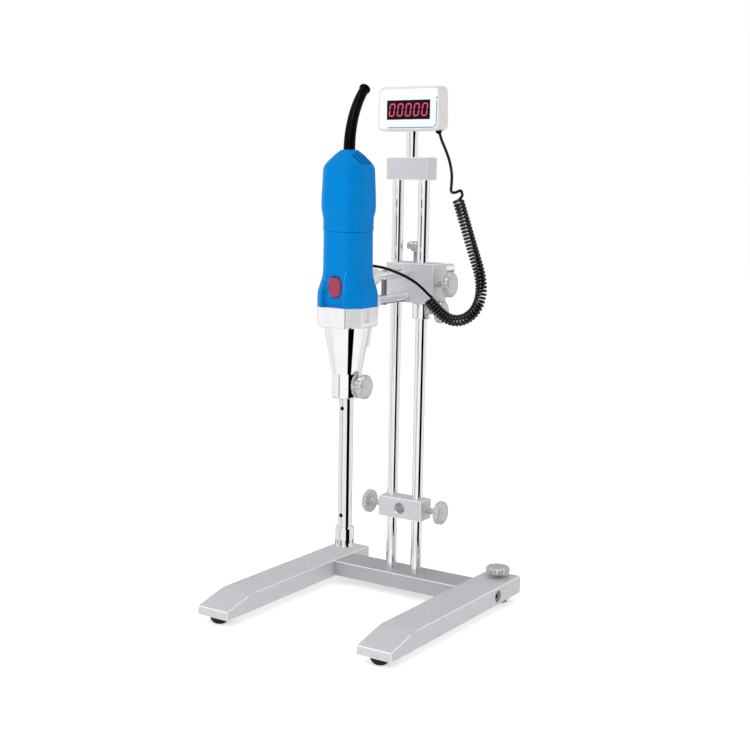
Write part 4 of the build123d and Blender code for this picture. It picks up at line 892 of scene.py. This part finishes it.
def make_knob(name, node, seat, way, stand_off, radius):
    """Fluted knob on its threaded stud, turned about the line from the seat along way."""
    way = Vector(way)
    side = way.orthogonal().normalized()
    across = way.cross(side)
    seat = mm(*seat)
    low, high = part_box(node)
    reach = [(Vector(end) - seat).dot(way) / MM for end in (low, high)]
    back = stand_off + HUB_LENGTH
    top = back + GRIP_LENGTH
    # place along the axis, radius there, and how much of the flutes' depth it has
    profile = [(min(reach) + 0.05, 0.0, 0), (min(reach) + 0.05, STUD_RADIUS - 0.3, 0)]
    place = 0.4
    while place < stand_off - THREAD_PITCH:
        profile.append((place, STUD_RADIUS, 0))
        profile.append((place + THREAD_PITCH / 2, STUD_RADIUS - THREAD_DEPTH, 0))
        place += THREAD_PITCH
    profile += [
        (stand_off, STUD_RADIUS, 0), (stand_off, HUB_RADIUS - 0.4, 0),
        (stand_off + 0.4, HUB_RADIUS, 0), (back, HUB_RADIUS, 0),
        (back, radius - 1.6, 0.3), (back + 0.25, radius - 0.9, 0.8), (back + 0.9, radius - 0.15, 1),
        (back + 1.6, radius, 1), (top - 2.4, radius, 1), (top - 1.5, radius - 0.25, 1),
        (top - 0.5, radius - 1.15, 0.55), (top, radius - 1.9, 0.12), (top, radius - 3.2, 0),
        (top + 0.1, radius - 3.5, 0), (top + 0.6, radius - 3.8, 0), (top + 0.72, radius - 4.4, 0),
        (top + 0.72, radius - 5.2, 0), (top + 0.5, 2.0, 0), (top + 0.5, 0.0, 0),
    ]
    rings = []
    for along, reach_out, flute in profile:
        ring = []
        for column in range(COLUMNS):
            angle = 2 * pi * column / COLUMNS
            hollow = max(0.0, cos(FLUTES * angle)) ** 1.3
            spread = reach_out - FLUTE_DEPTH * flute * hollow
            ring.append(seat + (way * along + (side * cos(angle) + across * sin(angle)) * spread) * MM)
        rings.append(ring)
    return make_piece(name, *skin(rings), sharp=50.0)


# ------------------------------------------------------------------ display face
FACE_Y = 61.0
WINDOW_Z = 611.0
TRIM_WIDTH = 1.1
DIGIT_PITCH = 11.5


def make_digits(rows):
    """Five slanted seven segment noughts, lit from behind the smoked window."""
    height, width, bar, slant = 15.4, 8.0, 1.5, 0.13
    half_w, half_h, gap = width / 2 - bar / 2, height / 2 - bar / 2, 0.28
    ends = [
        ((-half_w, half_h), (half_w, half_h)),
        ((-half_w, -half_h), (half_w, -half_h)),
        ((-half_w, 0), (-half_w, half_h)),
        ((-half_w, -half_h), (-half_w, 0)),
        ((half_w, 0), (half_w, half_h)),
        ((half_w, -half_h), (half_w, 0)),
    ]
    vertices, faces = [], []
    for start, end in ends:
        a, b = Vector(start), Vector(end)
        along = (b - a).normalized()
        across = Vector((-along.y, along.x)) * bar / 2
        a += along * gap
        b -= along * gap
        tip = bar / 2
        outline = [a, a + along * tip + across, b - along * tip + across, b, b - along * tip - across,
                   a + along * tip - across]
        first = len(vertices)
        for y in (FACE_Y - 0.06, FACE_Y + 0.02):
            for p in outline:
                vertices.append(mm(p.x + slant * p.y - 2 * DIGIT_PITCH, y, WINDOW_Z + p.y))
        faces.append(tuple(range(first, first + 6)))
        faces.append(tuple(reversed(range(first + 6, first + 12))))
        for i in range(6):
            j = (i + 1) % 6
            faces.append((first + i, first + 6 + i, first + 6 + j, first + j))
    nought = make_piece("lit_nought", vertices, faces, sharp=20.0)
    digits = grown(nought, rows, {"Count": 5, "Step": (DIGIT_PITCH * MM, 0.0, 0.0)})
    digits.name = "speed_digits"
    return digits


def make_label():
    """White film label over the flat of the display face, open where the window is."""
    sides = [(-41.5, 588.9), (41.5, 588.9), (40.1, 635.6), (-40.1, 635.6)]
    window = [(-30.6, 599.4), (30.6, 599.4), (30.6, 622.6), (-30.6, 622.6)]
    edge = eased([(x, z, 5.4) for x, z in sides], 4, closed=True)
    opening = eased([(x, z, 0.3) for x, z in window], 4, closed=True)
    back, front = FACE_Y + 0.02, FACE_Y - 0.03
    route = ((edge, back), (edge, front), (opening, front), (opening, back), (edge, back))
    rings = [[mm(p.x, y, p.y) for p in line] for line, y in route]
    return make_piece("display_label", *skin(rings), sharp=20.0)


def make_trim():
    """Thin blue line along the foot and up the right side of the display face."""
    line = eased([(-29.5, 590.0, 0), (39.4, 590.0, 6.0), (39.4, 621.5, 0)], 8)
    vertices, faces = [], []
    for index, here in enumerate(line):
        before = line[max(index - 1, 0)]
        after = line[min(index + 1, len(line) - 1)]
        along = (after - before).normalized()
        across = Vector((-along.y, along.x)) * TRIM_WIDTH / 2
        for sign, lift in ((1, -0.08), (-1, -0.08), (-1, 0.05), (1, 0.05)):
            edge = here + across * sign
            vertices.append(mm(edge.x, FACE_Y + lift, edge.y))
    rings = [vertices[i : i + 4] for i in range(0, len(vertices), 4)]
    return make_piece("display_trim_line", *skin(rings, True, True), sharp=20.0)


def make_lamp():
    """Small round red lamp above the end of the trim line."""
    rings = []
    for radius, lift in ((1.0, -0.05), (1.0, 0.1), (0.7, 0.28), (0.3, 0.36)):
        ring = []
        for step in range(20):
            angle = 2 * pi * step / 20
            ring.append(mm(39.6 + radius * cos(angle), FACE_Y - lift, 624.6 + radius * sin(angle)))
        rings.append(ring)
    return make_piece("display_lamp", *skin(rings, True, True))


# ------------------------------------------------------------------ studio
bench = make_floor()
bench_laminate = finish(
    "bench_laminate", "#ECECEC", "#EEEEEE", 0.9, 0.0, 3.0, 0.0, broad_mm=200.0,
    Specular_IOR_Level=0.0, Emission_Color=(1.0, 1.0, 1.0, 1.0), Emission_Strength=0.46,
)
dress(bench, bench_laminate)
add_light("key_softbox", (-0.9, -1.6, 1.5), (0, 0, 0.3), 1.4, 1.4, 15.0)
add_light("fill_softbox", (1.7, -0.4, 1.0), (0, 0, 0.3), 1.2, 1.2, 0.9)
add_light("top_softbox", (0.0, 0.3, 2.2), (0, 0, 0.2), 1.6, 1.6, 9.0)


def make_world():
    """Pale studio; glossy rays meet a white tent with a dark strip, a grey one and a grey back."""
    world = bpy.data.worlds.new("studio_tent")
    bpy.context.scene.world = world
    world.use_nodes = True
    tree = world.node_tree
    tree.nodes.clear()
    where = add_node(tree, "ShaderNodeTexCoord")
    split = add_node(tree, "ShaderNodeSeparateXYZ", {}, {"Vector": where.outputs["Generated"]})
    flipped = add_node(
        tree, "ShaderNodeMath", {"operation": "MULTIPLY", 1: -1.0}, {0: split.outputs["Y"]}
    )
    angle = add_node(
        tree, "ShaderNodeMath", {"operation": "ARCTAN2"}, {0: split.outputs["X"], 1: flipped.outputs[0]}
    )
    share = add_node(
        tree, "ShaderNodeMapRange", {"From Min": -pi, "From Max": pi}, {"Value": angle.outputs[0]}
    )
    # azimuth in degrees from straight in front, counted to the right, and the tone there: near the
    # horizon, where upright bars look, and well below it, where the cone looks
    level_tones = [
        (-180, 0.55), (-158, 0.5), (-128, 0.5), (-120, 0.88), (-32, 0.92), (-28, 0.40), (-21, 0.40),
        (-17, 1.0), (46, 1.0), (49, 0.0), (92, 0.0), (96, 0.85), (130, 0.9), (150, 0.97), (179, 0.6),
    ]
    lower_tones = [
        (-180, 0.05), (-118, 0.08), (-95, 0.5), (-60, 0.9), (-35, 1.0), (38, 1.0), (41, 0.0), (70, 0.0),
        (73, 1.0), (105, 0.98), (124, 0.9), (156, 0.5), (170, 0.1), (179, 0.05),
    ]
    strips = []
    for tones in (level_tones, lower_tones):
        strip = add_node(tree, "ShaderNodeValToRGB", {}, {"Fac": share.outputs["Result"]})
        ramp = strip.color_ramp
        while len(ramp.elements) < len(tones):
            ramp.elements.new(0.5)
        for element, (degrees, tone) in zip(ramp.elements, tones):
            element.position = (degrees + 180) / 360
            element.color = (tone, tone, tone, 1.0)
        strips.append(strip)
    height = add_node(
        tree,
        "ShaderNodeMapRange",
        {"From Min": -0.36, "From Max": -0.30},
        {"Value": split.outputs["Z"]},
    )
    both = add_node(
        tree,
        "ShaderNodeMixRGB",
        {},
        {0: height.outputs["Result"], 1: strips[1].outputs["Color"], 2: strips[0].outputs["Color"]},
    )
    tent = add_node(
        tree, "ShaderNodeBackground", {"Strength": 1.0}, {"Color": both.outputs["Color"]}
    )
    # small bright lamp high in front, which only curved surfaces mirror
    near_lamp = add_node(
        tree,
        "ShaderNodeVectorMath",
        {"operation": "DISTANCE", 1: (0.23, -0.6, 0.77)},
        {0: where.outputs["Generated"]},
    )
    in_lamp = add_node(
        tree,
        "ShaderNodeMapRange",
        {"From Min": 0.21, "From Max": 0.18, "To Min": 0.0, "To Max": 14.0},
        {"Value": near_lamp.outputs["Value"]},
    )
    lamp = add_node(tree, "ShaderNodeBackground", {}, {"Strength": in_lamp.outputs["Result"]})
    tent_lamp = add_node(tree, "ShaderNodeAddShader", {}, {0: tent.outputs[0], 1: lamp.outputs[0]})
    white = add_node(tree, "ShaderNodeBackground", {"Color": (1.0, 1.0, 1.0, 1.0), "Strength": 1.0})
    soft = add_node(tree, "ShaderNodeBackground", {"Color": (1.0, 1.0, 1.0, 1.0), "Strength": 0.69})
    ray = add_node(tree, "ShaderNodeLightPath")
    seen = add_node(
        tree,
        "ShaderNodeMixShader",
        {},
        {0: ray.outputs["Is Camera Ray"], 1: soft.outputs[0], 2: white.outputs[0]},
    )
    mixed = add_node(
        tree,
        "ShaderNodeMixShader",
        {},
        {0: ray.outputs["Is Glossy Ray"], 1: seen.outputs[0], 2: tent_lamp.outputs[0]},
    )
    add_node(tree, "ShaderNodeOutputWorld", {}, {"Surface": mixed.outputs[0]})


make_world()
bpy.context.scene.view_settings.view_transform = "Standard"


# ------------------------------------------------------------------ detail pieces on their bodies
rows = row_tree()
shells = ((make_grip_shell(), "motor_housing"), (make_rear_shell(rows), "motor_rear_cover"))
for shell, node in shells:
    belongs(shell, "head", "blue_housing", azure_abs, node)
    # kept out of the chromed columns, which mirror a white tent
    shell.visible_glossy = False
# the beads' lighter blue is a painted highlight along the switch panel's edges
belongs(make_panel_beads(), "head", "blue_housing", bead_painted_highlight)
# the slots' dark floors are painted shade, in the black nylon finish of the parts inside
belongs(make_slot_shadows(rows), "head", "inner_plastic", inner_plastic)
belongs(make_case_joint_shadow(), "head", "die_cast", joint_shadow)
belongs(make_rocker(), "switch", "switch_red", switch_red, "switch_rocker")
belongs(make_digits(rows), "stand", "digit_module", lit_segment)
belongs(make_label(), "stand", "display_white", label_film)
belongs(make_trim(), "stand", "display_white", trim_blue)
belongs(make_lamp(), "stand", "display_white", lamp_red)

# node, body, seat on the block, way out, stand off from the seat, radius
knobs = [
    ("levelling_knob", "levelling_screw", (115.0, 113.5, 32.0), (0, 0, 1), 2.5, 15.0),
    ("block_knob", "carriage_knob", (39.5, 71.5, 402.2), (1, 0, 0), 12.0, 15.5),
    ("arm_lock_knob", "arm_lock", (0.0, 87.5, 426.4), (0, 0, 1), 14.0, 12.0),
    ("stop_collar_knob", "stop_ring_knob", (29.8, 71.5, 368.1), (1, 0, 0), 10.5, 14.0),
    ("clamp_left_knob", "vessel_clamp_left_knob", (-31.8, 71.5, 114.15), (-1, 0, 0), 15.0, 15.0),
    ("clamp_right_knob", "vessel_clamp_right_knob", (31.8, 71.5, 114.15), (1, 0, 0), 15.0, 15.0),
    ("cone_thumb_screw", "cone_screw", (17.5, -66.0, 290.0), (1, 0, 0), 1.0, 14.5),
]
for node, body, seat, way, stand_off, radius in knobs:
    knob = make_knob(node + "_turned", node, seat, way, stand_off, radius)
    belongs(knob, body, "knob_metal", knob_metal, node)

# bright skins over the chamfers: a painted highlight
belongs(
    make_chamfer_highlights("stand_chamfer_highlights", "left_leg", "right_leg", "cross_beam", "top_bridge"),
    "stand", "frame_aluminium", chamfer_highlight_paint,
)
belongs(
    make_chamfer_highlights("carriage_chamfer_highlights", "slide_block"),
    "carriage", "frame_aluminium", chamfer_highlight_paint,
)
belongs(
    make_chamfer_highlights("clamp_chamfer_highlights", "clamp_block"),
    "vessel_clamp", "frame_aluminium", chamfer_highlight_paint,
)


# ------------------------------------------------------------------ cords are dressed and the display lead rides on the stand
for piece in (coil, upper_lead, lower_lead):
    dress(piece, curled_sheath if piece is coil else cord_sheath)
for piece in (coil, lower_lead):
    for polygon in piece.data.polygons:
        polygon.use_smooth = True
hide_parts("cord_coil")
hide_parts("cord_upper_lead")
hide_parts("cord_lower_lead")
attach(upper_lead, "stand")
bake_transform(coil)
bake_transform(lower_lead)
line_length(line_points(upper_route))
